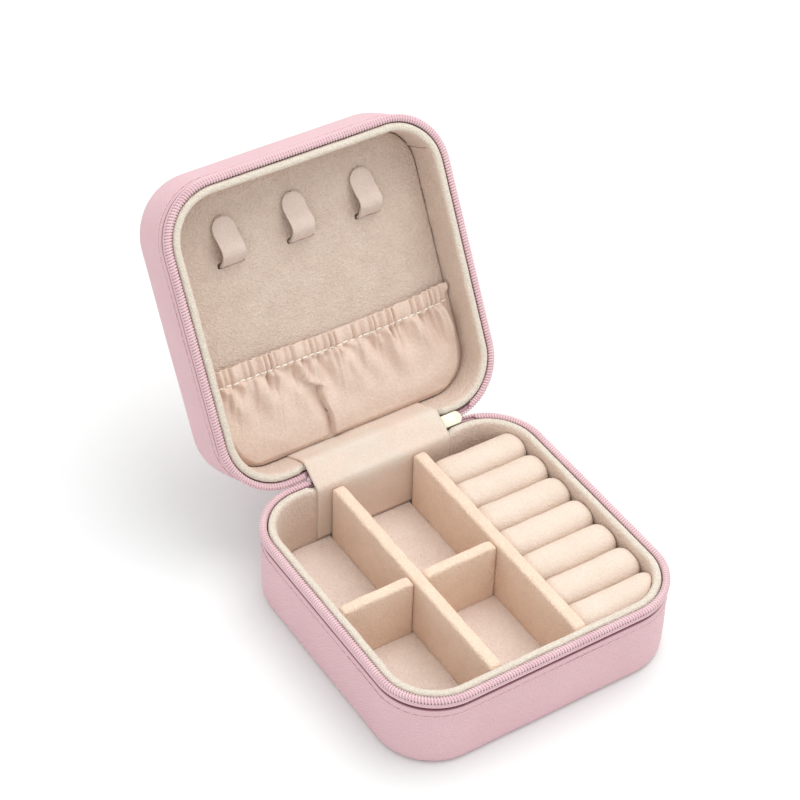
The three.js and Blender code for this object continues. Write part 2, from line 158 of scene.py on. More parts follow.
def outline(s):
    """Points and outward normals of the case's outside, s mm round it from the middle of the back."""
    s = np.mod(np.asarray(s, float), AROUND)
    side = STRAIGHT + ARC
    turned = np.mod(s + STRAIGHT / 2, AROUND)
    quarter = np.floor(turned / side)
    along = turned - quarter * side
    over = np.maximum(along - STRAIGHT, 0) / CORNER_R
    flat = np.minimum(along, STRAIGHT)
    # The back side runs towards -X; each later side is turned a quarter from it
    x = STRAIGHT / 2 - flat - CORNER_R * np.sin(over)
    y = HALF_SIDE - CORNER_R + CORNER_R * np.cos(over)
    nx, ny = -np.sin(over), np.cos(over)
    c, n = np.cos(quarter * math.pi / 2), np.sin(quarter * math.pi / 2)
    return np.stack([x * c - y * n, x * n + y * c], -1), np.stack([nx * c - ny * n, nx * n + ny * c], -1)


def columns(straight_step=2.0, corner_steps=16):
    """Places round the outline, closer together in the corners."""
    places = []
    for k in range(4):
        start = -STRAIGHT / 2 + k * (STRAIGHT + ARC)
        corner = start + STRAIGHT
        places.append(np.linspace(start, corner, int(STRAIGHT / straight_step), endpoint=False))
        places.append(np.linspace(corner, corner + ARC, corner_steps, endpoint=False))
    return np.concatenate(places)


def at_inset(s, inset, height):
    """Points in from the outline: at each place round it, a row of distances in and their heights."""
    edge, normal = outline(s)
    inset = np.broadcast_to(inset, (len(s), np.shape(inset)[-1]))
    p = np.empty(inset.shape + (3,))
    p[..., :2] = edge[:, None] - inset[..., None] * normal[:, None]
    p[..., 2] = height
    return p


def line_at(s, inset, height):
    """A line round the outline, with one distance in and one height at each place."""
    return at_inset(s, inset[:, None], height[:, None])[:, 0]


def inside(points, inset):
    """The points, with any that lie outside the inset outline moved in to it."""
    r = CORNER_R - inset
    limit = HALF_SIDE - inset
    core = limit - r
    xy = np.clip(points[..., :2], -limit, limit)
    centre = np.clip(xy, -core, core)
    away = xy - centre
    far = np.linalg.norm(away, axis=-1, keepdims=True)
    in_corner = np.all(np.abs(xy) > core, axis=-1, keepdims=True) & (far > r)
    out = points.copy()
    out[..., :2] = np.where(in_corner, centre + away * r / np.maximum(far, 1e-9), xy)
    return out


class Part:
    """Points, faces and each face corner's flat position (mm on the uncut material)."""

    def __init__(self):
        self.points, self.faces, self.flat = [], [], []
        self.count = 0

    def add(self, points, faces, flat):
        self.points.append(np.asarray(points, float).reshape(-1, 3))
        self.faces += [[i + self.count for i in face] for face in faces]
        self.flat.append(np.asarray(flat, float).reshape(-1, 2))
        self.count += len(self.points[-1])
        return self

    def join(self, *parts):
        """Takes in the other parts."""
        for part in parts:
            self.add(np.vstack(part.points), part.faces, np.vstack(part.flat))
        return self

    def cap(self, *faces):
        """Faces over points that are there already, given by their numbers."""
        self.faces += faces
        self.flat.append(np.zeros((sum(len(face) for face in faces), 2)))
        return self

    def grid(self, points, u, v, loop_u=False, loop_v=False):
        """Quads over a grid of points. u and v are each row's and column's flat position."""
        nu, nv = points.shape[:2]
        a, b = np.meshgrid(np.arange(nu - (not loop_u)), np.arange(nv - (not loop_v)), indexing="ij")
        a, b = a.ravel(), b.ravel()
        ring = [(a, b), (a + 1, b), (a + 1, b + 1), (a, b + 1)]
        faces = np.stack([(i % nu) * nv + j % nv for i, j in ring], 1)
        flat = np.stack([np.stack([np.asarray(u)[i], np.asarray(v)[j]], -1) for i, j in ring], 1)
        return self.add(points, faces.tolist(), flat)

    def rings(self, points, u):
        """A grid that closes round in its first direction, with a face over each end."""
        around, rows = points.shape[:2]
        first = self.count
        self.grid(points, u, np.arange(rows), loop_u=True)
        last, start = [[first + k * rows + row for k in range(around)] for row in (rows - 1, 0)]
        return self.cap(last, start[::-1])

    def tube(self, centre, radius, sides, flatten=1.0, up=(0, 0, 1)):
        """A closed round tube along a line of points, with rounded ends."""
        centre = np.asarray(centre, float)
        along = unit(np.gradient(centre, axis=0))
        side = unit(np.cross(along, up))
        top = np.cross(side, along)
        radius = np.broadcast_to(radius, len(centre)).astype(float)
        turn = np.linspace(0, 2 * math.pi, sides, endpoint=False)[:, None]
        ring = np.cos(turn) * side[:, None] + flatten * np.sin(turn) * top[:, None]
        body = centre[:, None] + radius[:, None, None] * ring
        start = centre[0] - along[0] * radius[0] * 0.5 + 0.55 * radius[0] * ring[0]
        end = centre[-1] + along[-1] * radius[-1] * 0.5 + 0.55 * radius[-1] * ring[-1]
        body = np.concatenate([start[None], body, end[None]])
        first, last = self.count, self.count + (len(body) - 1) * sides
        v = np.linspace(0, 2 * math.pi * radius.mean(), sides + 1)
        self.grid(body, lengths_along(body[:, 0]), v, loop_v=True)
        return self.cap([first + k for k in reversed(range(sides))], [last + k for k in range(sides)])

    def moved(self, change):
        """The same part with its points changed by a function."""
        self.points = [change(np.vstack(self.points))]
        return self

    def thick(self, points, u, v, thickness):
        """A sheet with the grid of points in the middle of its thickness."""
        normal = np.cross(np.gradient(points, axis=0), np.gradient(points, axis=1))
        normal /= np.maximum(np.linalg.norm(normal, axis=2, keepdims=True), 1e-9)
        front, back = points + normal * thickness / 2, points - normal * thickness / 2
        both = np.concatenate([front, back[:, ::-1]], 1)
        v = np.asarray(v, float)
        first = self.count
        self.grid(both, u, np.concatenate([v, v[::-1], v[:1]]), loop_v=True)
        nu, nv = both.shape[:2]
        for row in (0, nu - 1):
            at = first + row * nv
            for j in range(points.shape[1] - 1):
                face = [at + j, at + j + 1, at + nv - 2 - j, at + nv - 1 - j]
                self.cap(face if row else face[::-1])
        return self


def rounded_box(lo, hi, r, step):
    """A Part: a box with rounded edges, with faces about `step` wide."""
    lo, hi = np.array(lo, float), np.array(hi, float)
    size = hi - lo
    count = np.maximum(np.round(size / step).astype(int), 2)

    def ticks(k):
        # Closer together in the rounded edges
        n = 3
        edge = np.linspace(0, r, n + 1)
        middle = np.linspace(r, size[k] - r, max(count[k] - 1, 2))[1:-1]
        return lo[k] + np.concatenate([edge, middle, size[k] - edge[::-1]])

    part = Part()
    at = [ticks(k) for k in range(3)]
    for axis in range(3):
        a, b = [(1, 2), (2, 0), (0, 1)][axis]
        for end in (0, 1):
            ga, gb = np.meshgrid(at[a], at[b], indexing="ij")
            p = np.empty(ga.shape + (3,))
            p[..., a], p[..., b], p[..., axis] = ga, gb, (lo, hi)[end][axis]
            core = np.clip(p, lo + r, hi - r)
            away = p - core
            p = core + away * r / np.maximum(np.linalg.norm(away, axis=-1, keepdims=True), 1e-9)
            if end == 0:
                p = p[::-1]
            u = at[a] if end else at[a][::-1]
            part.grid(p, u, at[b])
    return part


def weld(obj):
    """Joins points that lie together, and turns all faces outwards."""
    bm = bmesh.new()
    bm.from_mesh(obj.data)
    bmesh.ops.remove_doubles(bm, verts=bm.verts, dist=SAME_POINT)
    bmesh.ops.recalc_face_normals(bm, faces=bm.faces)
    bm.to_mesh(obj.data)
    bm.free()


def stands_in(obj, slot, body, *nodes):
    """Hides the CAD nodes that a visible piece stands for, and hangs it on the body it rides; the slot is not
    used.
    """
    if nodes:
        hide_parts(*nodes)
    if body:
        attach(obj, body)
    return obj


def piece(name, part, finish, slot, body, *nodes):
    """A visible piece made from a Part."""
    return stands_in(as_object(name, part, finish), slot, body, *nodes)


def with_modifiers(obj):
    """Makes an object's modifiers part of its mesh."""
    graph = bpy.context.evaluated_depsgraph_get()
    mesh = bpy.data.meshes.new_from_object(obj.evaluated_get(graph))
    obj.modifiers.clear()
    obj.data = mesh
    mesh.polygons.foreach_set("use_smooth", [True] * len(mesh.polygons))


def at_hinge(p, angle):
    """Points measured from the hinge line, turned about it by an angle, in the open case."""
    p = np.asarray(p, float)
    c, s = math.cos(angle), math.sin(angle)
    out = np.empty_like(p)
    out[..., 0] = p[..., 0]
    out[..., 1] = HINGE[1] + c * p[..., 1] + s * p[..., 2]
    out[..., 2] = HINGE[2] - s * p[..., 1] + c * p[..., 2]
    return out


def as_object(name, part, finish):
    """A mesh object from a Part, in metres, smooth, with its flat positions as a UV map."""
    mesh = bpy.data.meshes.new(name)
    mesh.from_pydata((np.vstack(part.points) * MM).tolist(), [], part.faces)
    layer = mesh.uv_layers.new(name="flat")
    layer.data.foreach_set("uv", np.vstack(part.flat).astype(np.float32).ravel())
    obj = bpy.data.objects.new(name, mesh)
    bpy.context.scene.collection.objects.link(obj)
    weld(obj)
    mesh.polygons.foreach_set("use_smooth", [True] * len(mesh.polygons))
    mesh.materials.append(finish)
    return obj


def points_of(mesh):
    """A mesh's points in millimetres."""
    co = np.empty(len(mesh.vertices) * 3, np.float32)
    mesh.vertices.foreach_get("co", co)
    return co.reshape(-1, 3).astype(float) / MM


# Places in the open case: each takes points in one frame and gives them in the case's own


def in_base(p):
    """From a half's frame to the base."""
    return np.asarray(p, float) + [0, 0, BASE_HEIGHT]


def in_lid(p):
    """From the lid's own frame: x, y from the hinge (negative), and height from the rim."""
    return at_hinge(p, OPEN_ANGLE)


def half_in_lid(p):
    """From a half's frame to the lid, which is the half turned over."""
    p = np.asarray(p, float)
    return in_lid(np.stack([-p[..., 0], p[..., 1] - HINGE[1], -p[..., 2]], -1))


def in_zip(p):
    """From the slider's frame: x, out of the case, and across the zip."""
    return at_hinge(p, OPEN_ANGLE / 2)


PLACE = {"base": in_base, "lid": half_in_lid}


# ---------------------------------------------------------------- finishes


def srgb(r, g, b):
    """A linear colour from 8-bit sRGB."""
    c = np.array([r, g, b]) / 255
    return (*np.where(c <= 0.04045, c / 12.92, ((c + 0.055) / 1.055) ** 2.4), 1.0)


class Finish:
    """A node material being put together."""

    def __init__(self, name, **sockets):
        self.material = bpy.data.materials.new(name)
        self.material.use_nodes = True
        self.tree = self.material.node_tree
        self.shader = self.tree.nodes["Principled BSDF"]
        for key, value in sockets.items():
            self.shader.inputs[key.replace("_", " ")].default_value = value

    def node(self, kind, settings=None, **sockets):
        made = self.tree.nodes.new("ShaderNode" + kind)
        for key, value in (settings or {}).items():
            setattr(made, key, value)
        for key, value in sockets.items():
            self.feed(made, key.replace("_", " "), value)
        return made

    def feed(self, node, socket, value):
        target = node.inputs[int(socket) if socket.isdigit() else socket]
        if isinstance(value, bpy.types.NodeSocket):
            self.tree.links.new(value, target)
        else:
            target.default_value = value

    def place(self):
        """Position on the object, in metres."""
        return self.node("TexCoord").outputs["Object"]

    def flat(self, turn=0.0):
        """Position on the flat material in mm, turned by some degrees."""
        uv = self.node("UVMap", {"uv_map": "flat"}).outputs["UV"]
        if not turn:
            return uv
        return self.node("Mapping", Vector=uv, Rotation=(0, 0, math.radians(turn))).outputs["Vector"]

    def across(self):
        """Distance in the second flat direction, in mm."""
        return self.node("SeparateXYZ", Vector=self.flat()).outputs["Y"]

    def noise(self, where, size, detail=2.0):
        """Noise with features about `size` mm across."""
        return self.node("TexNoise", Vector=where, Scale=1 / size / MM, Detail=detail).outputs["Fac"]

    def ridges(self, where, pitch, distortion=0.0):
        """Even ridges across the first direction, `pitch` mm apart, on flat positions."""
        wave = self.node(
            "TexWave",
            {"wave_type": "BANDS", "bands_direction": "X", "wave_profile": "SIN"},
            Vector=where,
            Scale=math.pi / 10 / pitch,
            Distortion=distortion,
            Detail_Scale=1.5,
        )
        return wave.outputs["Fac"]

    def math(self, operation, a, b=0.0):
        made = self.node("Math", {"operation": operation})
        self.feed(made, "0", a)
        self.feed(made, "1", b)
        return made.outputs[0]

    def total(self, *terms):
        """The sum of some values, each times its weight."""
        whole, *rest = [self.math("MULTIPLY", value, weight) for value, weight in terms]
        for term in rest:
            whole = self.math("ADD", whole, term)
        return whole

    def between(self, value, low, high):
        """The value's range from low to high, stretched to 0 to 1."""
        return self.node("MapRange", Value=value, From_Min=low, From_Max=high).outputs[0]

    def mix(self, amount, first, second):
        made = self.node("Mix", {"data_type": "RGBA"})
        self.feed(made, "0", amount)
        self.feed(made, "6", first)
        self.feed(made, "7", second)
        return made.outputs[2]

    def tone(self, amount, dark, light):
        """A mix of two 8-bit sRGB colours."""
        return self.mix(amount, srgb(*dark), srgb(*light))

    def bump(self, height, depth, under=None):
        """Surface relief `depth` mm deep."""
        made = self.node("Bump", Height=height, Distance=depth * MM, Strength=1.0)
        if under is not None:
            self.feed(made, "Normal", under)
        return made.outputs["Normal"]

    def done(self, color=None, roughness=None, normal=None):
        for key, value in (("Base Color", color), ("Roughness", roughness), ("Normal", normal)):
            if value is not None:
                self.feed(self.shader, key, value)
        return self.material


def velvet(name, light, dark, edge=None, edge_at=None, pile=0.14, satin_sheen=None):
    """Short-piled velvet: mottled by the lie of its pile, with a fine fibre grain and a soft sheen; `edge`
    paints a lighter crest and `satin_sheen` paints paler patches, both painted sheen.
    """
    f = Finish(
        name,
        Roughness=0.95,
        Specular_IOR_Level=0.15,
        Sheen_Weight=0.25,
        Sheen_Roughness=0.45,
        Sheen_Tint=srgb(255, 240, 228),
    )
    where = f.place()
    lie = f.between(f.noise(where, 7.0, 4.0), 0.35, 0.65)
    fibre = f.between(f.noise(where, 0.5, 3.0), 0.36, 0.64)
    speck = f.between(f.noise(where, 1.1, 2.0), 0.35, 0.65)
    color = f.tone(f.total((lie, 0.3), (fibre, 0.45), (speck, 0.25)), dark, light)
    if satin_sheen:
        # Painted sheen: pale patches where satiny velvet would catch the light
        sheen_patches = f.between(f.noise(where, 17.0, 2.0), 0.48, 0.62)
        color = f.mix(f.math("MULTIPLY", sheen_patches, 0.5), color, srgb(*satin_sheen))
    # Painted sheen: past edge_at on the flat, the colour turns to the lighter edge tones, which light the
    # lips' crest
    if edge:
        wander = f.total((f.across(), 1.0), (f.noise(where, 3.0), 1.2))
        color = f.mix(f.between(wander, *edge_at), color, f.tone(fibre, *edge))
    return f.done(color, None, f.bump(speck, pile * 0.8, f.bump(fibre, pile)))


def leather_finish(name, light, dark, edge, edge_at):
    """Cross-hatched coated leather, darker in its edge colour up to `edge_at` mm of its flat length: partly
    the turned edge's own darker colour, partly painted shade in the gap under the hem.
    """
    f = Finish(name, Specular_IOR_Level=0.42, Coat_Weight=0.06, Coat_Roughness=0.4)
    where = f.place()
    first = f.ridges(f.flat(38), 0.72, 0.9)
    second = f.ridges(f.flat(-42), 0.78, 0.9)
    hatch = f.math("MULTIPLY", f.math("POWER", first, 0.6), f.math("POWER", second, 0.6))
    grain = f.noise(where, 0.35, 3.0)
    cloud = f.between(f.noise(where, 16.0, 3.0), 0.3, 0.7)
    color = f.tone(f.total((hatch, 0.6), (cloud, 0.25), (grain, 0.15)), dark, light)
    # Darker up to edge_at: partly the leather's own turned edge, partly painted shade of the gap under the
    # hem
    color = f.mix(f.between(f.across(), edge_at, edge_at + 0.35), srgb(*edge), color)
    rough = f.math("SUBTRACT", 0.6, f.math("MULTIPLY", hatch, 0.16))
    return f.done(color, rough, f.bump(hatch, 0.12, f.bump(grain, 0.03)))


def woven(name, light, dark, rib, cross, depth, tucked=None, hem_shade_at=0.0):
    """Ribbed ribbon weave along the flat directions, darker where it is tucked away: painted shade in the gap
    under the hem.
    """
    f = Finish(name, Roughness=0.8, Specular_IOR_Level=0.25, Sheen_Weight=0.15)
    both = f.total((f.ridges(f.flat(90), rib, 0.3), 0.6), (f.ridges(f.flat(), cross, 0.3), 0.4))
    color = f.tone(f.total((both, 0.6), (f.noise(f.place(), 6.0, 3.0), 0.4)), dark, light)
    if tucked:
        # Painted shade: past hem_shade_at mm the tape is coloured dark, where it lies in the hem's gap
        color = f.mix(f.between(f.across(), hem_shade_at, hem_shade_at + 0.5), color, srgb(*tucked))
    return f.done(color, None, f.bump(both, depth))


def plastic(name, light, dark, roughness, **sockets):
    """Moulded or coated hard surface with faint clouding and fine scuffs."""
    f = Finish(name, Specular_IOR_Level=0.5, **sockets)
    where = f.place()
    scuff = f.noise(where, 0.5, 4.0)
    color = f.tone(f.between(f.noise(where, 9.0, 3.0), 0.3, 0.7), dark, light)
    rough = f.math("ADD", roughness - 0.08, f.math("MULTIPLY", scuff, 0.16))
    return f.done(color, rough, f.bump(scuff, 0.012))


def fibreboard(name, light, dark):
    """Board or foam with flecks of fibre."""
    f = Finish(name, Roughness=0.9, Specular_IOR_Level=0.2)
    fleck = f.noise(f.place(), 0.8, 5.0)
    return f.done(f.tone(f.between(fleck, 0.35, 0.6), dark, light), None, f.bump(fleck, 0.05))


# PINK's edge colour is partly the turned edge's own colour, partly painted shade in the hem's gap
PINK = leather_finish("pink_leather", (228, 189, 195), (214, 172, 179), edge=(152, 106, 117), edge_at=7.6)
STRIP = leather_finish("pink_strip", (226, 189, 195), (212, 172, 179), edge=(212, 172, 179), edge_at=-40.0)
THREAD = woven("pink_thread", (235, 203, 207), (217, 180, 186), 0.3, 0.3, 0.03)
# Painted sheen: the lips' crest in lighter cream, where the velvet pile catches the light
LIP_SHEEN_COLOURS = ((216, 202, 188), (230, 219, 206))
LINER = velvet("liner_velvet", (229, 209, 196), (213, 188, 173), edge=LIP_SHEEN_COLOURS, edge_at=(21.5, 22.8))
FLOOR_VELVET = velvet("floor_velvet", (246, 229, 220), (234, 213, 202))
BOARD_VELVET = velvet("divider_velvet", (246, 220, 200), (232, 203, 182))
ROLL_VELVET = velvet("roll_velvet", (233, 214, 201), (220, 199, 183), pile=0.07)
PANEL_VELVET = velvet("panel_velvet", (220, 200, 186), (200, 176, 163))
STRAP_VELVET = velvet("strap_velvet", (218, 199, 190), (205, 184, 173), pile=0.06)
POCKET_VELVET = velvet("pocket_velvet", (229, 206, 192), (213, 187, 172), pile=0.07)
# The flap's satin_sheen patches are painted sheen
FLAP_VELVET = velvet("flap_velvet", (229, 207, 193), (216, 196, 183), pile=0.06, satin_sheen=(218, 209, 197))
# Painted shade for the tape where it runs into the dark gap under the hem
TAPE_HEM_SHADE = (184, 138, 151)
TAPE = woven("zip_tape", (230, 190, 198), (216, 172, 182), 0.55, 0.4, 0.08, tucked=TAPE_HEM_SHADE, hem_shade_at=3.9)
NYLON = plastic("zip_nylon", (227, 197, 200), (218, 184, 190), 0.42)
# Painted shade: the filler cord is coloured darker pink to stand for the shade between the coil's loops
SHADED_CORD = woven("zip_cord_painted_shade", (221, 170, 185), (203, 147, 163), 0.4, 0.4, 0.03)
# The whipped ends' grey-violet is partly their own colour, partly painted shade under the flap
ZIP_END = woven("zip_end", (204, 178, 190), (172, 146, 160), 0.5, 0.4, 0.06)
ENAMEL = plastic("cream_enamel", (244, 241, 215), (236, 230, 202), 0.25, Coat_Weight=0.5, Coat_Roughness=0.12)
WHITE_THREAD = woven("white_thread", (255, 250, 242), (240, 232, 222), 0.25, 0.25, 0.03)
ELASTIC = woven("elastic_band", (246, 242, 236), (226, 220, 211), 0.8, 0.5, 0.1)
BOARD = fibreboard("liner_board", (198, 178, 152), (168, 148, 124))
FOAM = fibreboard("lid_foam", (246, 241, 230), (228, 221, 206))


# ---------------------------------------------------------------- camera, light and floor


def camera():
    """A long-lens camera from the front left and above."""
    azimuth, elevation, roll = [math.radians(a) for a in (-33.737, 41.472, 1.838)]
    target, distance = Vector((7.883, 48.927, 47.09)) * MM, 755.66
    level = math.cos(elevation)
    back = Vector((math.sin(azimuth) * level, -math.cos(azimuth) * level, math.sin(elevation)))
    right = Vector((0, 0, 1)).cross(back).normalized()
    up = back.cross(right)
    turned_right = right * math.cos(roll) + up * math.sin(roll)
    turned_up = up * math.cos(roll) - right * math.sin(roll)
    data = bpy.data.cameras.new("camera")
    data.lens, data.sensor_width = 108.76, 36
    data.clip_start, data.clip_end = 0.01, 20
    obj = bpy.data.objects.new("camera", data)
    axes = Matrix((turned_right, turned_up, back)).transposed().to_4x4()
    obj.matrix_world = Matrix.Translation(target + back * distance * MM) @ axes
    bpy.context.scene.collection.objects.link(obj)
    bpy.context.scene.camera = obj


def studio():
    """Soft light from all round and one wide lamp above, over a pale paper floor."""
    scene = bpy.context.scene
    world = bpy.data.worlds.new("studio")
    world.use_nodes = True
    background = world.node_tree.nodes["Background"]
    background.inputs["Color"].default_value = (0.955, 1.0, 0.985, 1)
    background.inputs["Strength"].default_value = 1.05
    scene.world = world
    scene.view_settings.view_transform = "Standard"

    light = bpy.data.lights.new("key", "AREA")
    light.shape, light.size, light.energy = "DISK", 0.7, 3.7
    lamp = bpy.data.objects.new("key", light)
    lamp.location = Vector((0.24, 0.02, 0.88))
    aim = Vector((0, 0.03, 0.03))
    lamp.rotation_euler = (lamp.location - aim).to_track_quat("Z", "Y").to_euler()
    scene.collection.objects.link(lamp)

    paper = Finish("floor_paper", Roughness=0.9, Specular_IOR_Level=0.1)
    tooth = paper.noise(paper.place(), 3.0, 4.0)
    color = paper.mix(tooth, (0.83, 0.83, 0.83, 1), (0.85, 0.85, 0.85, 1))
    finish = paper.done(color, None, paper.bump(tooth, 0.02))
    far = 3000
    corners = [[-far, -far, 0], [far, -far, 0], [far, far, 0], [-far, far, 0]]
    as_object("floor", Part().add(corners, [[0, 1, 2, 3]], np.zeros((4, 2))), finish)


# ---------------------------------------------------------------- leather covers


def hem_profile(hem, height, fillet):
    """Inset and height of a cover's outside, from behind the turned hem to the flat face."""
    fold = [(1.1, -hem - 7), (1.1, -hem - 0.9), (1.0, -hem - 0.25), (0.7, -hem), (0.3, -hem - 0.03)]
    fold += [(0.05, -hem - 0.3), (-0.05, -hem - 0.8), (0.0, -hem - 1.7)]
    line = -hem - STITCH_DROP  # the stitches lie in a shallow groove
    groove = [(0.02, line + 0.5), (0.08, line + 0.22), (0.1, line), (0.08, line - 0.22), (0.0, line - 0.55)]
    top, bottom = line - 1.4, -height + fillet
    wall = [(-0.16 * math.sin(math.pi * t), top + (bottom - top) * t) for t in np.linspace(0, 1, 9)]
    turn = np.linspace(0, math.pi / 2, 9)[1:]
    corner = [(fillet - fillet * math.cos(a), bottom - fillet * math.sin(a)) for a in turn]
    flat = [(fillet + d, -height) for d in (1.2, 3.0)]
    return np.array(fold + groove + wall + corner + flat)


def disc(part, ring, depth, rise):
    """Closes a ring of points with smaller and smaller rings, raised towards the middle."""
    shares = np.linspace(1, 0.04, 12)
    grid = ring[:, None, :] * shares[None, :, None]
    grid[..., 2] = depth - rise * smooth((1 - shares) / 0.8)[None, :]
    n, m = grid.shape[:2]
    quads = [(i, (i + 1) % n, j) for i in range(n) for j in range(m - 1)]
    places = [[(i, j), (k, j), (k, j + 1), (i, j + 1)] for i, k, j in quads]
    places.append([(a, m - 1) for a in range(n)])
    flat = [grid[a, b, :2] + AROUND for face in places for a, b in face]
    part.add(grid, [[a * m + b for a, b in face] for face in places], flat)


def cover(half, hem, height, fillet, crown, seed):
    """A leather shell: turned hem, stitch groove, soft walls, and a closed face with a slight crown."""
    s = columns()
    u = np.append(s, s[0] + AROUND)
    outer = hem_profile(hem, height, fillet)
    outside = at_inset(s, outer[:, 0], outer[:, 1])
    soft = ripple(outside.reshape(-1, 3), 30, seed).reshape(outside.shape[:2]) * 0.09
    outside[..., :2] += outline(s)[1][:, None] * soft[..., None] * (outer[None, :, 1:] < -hem - 0.8)
    part = Part().grid(outside, u, lengths_along(outer), loop_u=True)
    disc(part, outside[:, -1], -height, crown)
    back = LEATHER + 0.35
    inner = [(1.1, -hem - 7), (back, -hem - 8), (back, -height + fillet + 1), (fillet + 3, -height + LEATHER)]
    inner = np.array(inner)
    within = at_inset(s, inner[:, 0], inner[:, 1])
    part.grid(within[:, ::-1], u, lengths_along(inner)[::-1], loop_u=True)
    disc(part, within[:, -1], -height + LEATHER, 0.0)
    piece(f"{half}_cover_leather", part.moved(PLACE[half]), PINK, "pink_leather", half, f"{half}_cover")
    hem_stitching(half, -hem - STITCH_DROP, seed)


def hem_stitching(half, line, seed):
    """The seam's thread, in stitches that lean a little one after another."""
    thread = Part()
    count = int(AROUND / STITCH_PITCH)
    pitch = AROUND / count
    rng = np.random.default_rng(seed)
    for k in range(count):
        start = k * pitch + 0.22 + rng.normal(0, 0.04)
        edge, normal = outline(start + np.linspace(0, pitch - 0.5, 5))
        lift = 0.06 + 0.12 * np.sin(np.linspace(0, math.pi, 5))
        level = line + np.linspace(-0.09, 0.09, 5) + rng.normal(0, 0.03)
        thread.tube(np.column_stack([edge + normal * (lift[:, None] - 0.1), level]), 0.2, 6)
    name = f"{half}_cover_leather_stitching"
    piece(name, thread.moved(PLACE[half]), THREAD, "pink_leather", half)


# ---------------------------------------------------------------- zip


def in_slider(s, slider_end, reach):
    """1 where the zip passes through the slider, and 0 where it is free."""
    return 1 - smooth((np.abs(s - slider_end) - reach) / 1.5)


def zip_tape(half, slider_end):
    """The woven tape, from under the coil, out round its edge and down behind the hem."""
    bulge = [(1.75, -1.75), (0.7, -1.85), (-0.05, -1.95), (-0.28, -2.4), (-0.16, -3.0), (0.35, -3.6)]
    profile = curve([*bulge, (1.05, -3.95), (1.4, -5.4), (1.5, -12)], 34)
    start = STRIP_HALF + 0.4
    s = np.linspace(start, AROUND - start, 260)
    held = in_slider(s, slider_end, SLIDER_LENGTH)[:, None]
    near_edge = (profile[:, 0] > 0) & (profile[:, 1] > -2.5)
    p = at_inset(s, profile[:, 0] * (1 - 0.5 * held * near_edge), profile[:, 1])
    down = lengths_along(profile)
    part = Part().thick(p, s, down, 0.3).moved(PLACE[half])
    obj = piece(f"{half}_zip_tape_woven", part, TAPE, "zip_tape", half, f"{half}_zip_tape")


def coil_middle(held):
    """Inset and height of the coil's middle line."""
    return 0.62 - 0.82 * held, -0.92 - 0.14 * held


def zip_coil(half, s0, s1, slider_end):
    """Nylon filament wound in flat loops on the tape's edge, squeezed where the slider runs over its end."""
    turns, per_turn = int((s1 - s0) / COIL_PITCH), 12
    t = np.arange(turns * per_turn + 1) / per_turn
    s = s0 + t * (s1 - s0) / turns
    angle = 2 * math.pi * t
    # A flattened loop, with its return run folded under the top one
    held = in_slider(s, slider_end, SLIDER_RUN)
    inset, height = coil_middle(held)
    inset = inset + (0.86 - 0.6 * held) * np.clip(1.12 * np.cos(angle), -1, 1)
    height = height + (0.5 - 0.22 * held) * np.clip(1.25 * np.sin(angle), -1, 1)
    centre = line_at(s, inset, height)
    along = unit(np.gradient(centre, axis=0))
    normal = outline(s)[1]
    tangent = np.column_stack([-normal[:, 1], normal[:, 0], np.zeros(len(s))])
    side = unit(tangent - (tangent * along).sum(1, keepdims=True) * along)
    other = np.cross(along, side)
    turn = np.linspace(0, 2 * math.pi, 6, endpoint=False)[:, None]
    ring = centre[:, None] + WIRE_R * (np.cos(turn) * side[:, None] + np.sin(turn) * other[:, None])
    part = Part().grid(ring, np.append(s, s[-1]), np.linspace(0, 1.7, 7), loop_v=True)
    last = (len(ring) - 1) * 6
    part.cap(list(reversed(range(6))), [last + k for k in range(6)])
    # The threads that bind it to the tape; the slider pushes the inner one down
    s = np.linspace(s0, s1, 320)
    held = in_slider(s, slider_end, SLIDER_RUN)
    weave = 0.05 * np.sin(2 * math.pi * s / 2.1)
    for inset, level, pushed in ((0.6, -0.24, 1), (-0.28, -1.78, 0)):
        line = line_at(s, inset + weave - 0.8 * held * pushed, level - 0.3 * held * pushed)
        part.tube(line, 0.16, 6)
    node = f"{half}_zip_coil"
    piece(node + "_nylon", part.moved(PLACE[half]), NYLON, "zip_nylon", half, node)
    # The filler cord that runs inside the loops, coloured darker as painted shade between them
    cord = Part().tube(line_at(s, *coil_middle(held)), 0.98 - 0.6 * held, 12, flatten=0.6)
    piece(node + "_cord", cord.moved(PLACE[half]), SHADED_CORD, "zip_tape", half, node)


# ---------------------------------------------------------------- velvet-lined walls


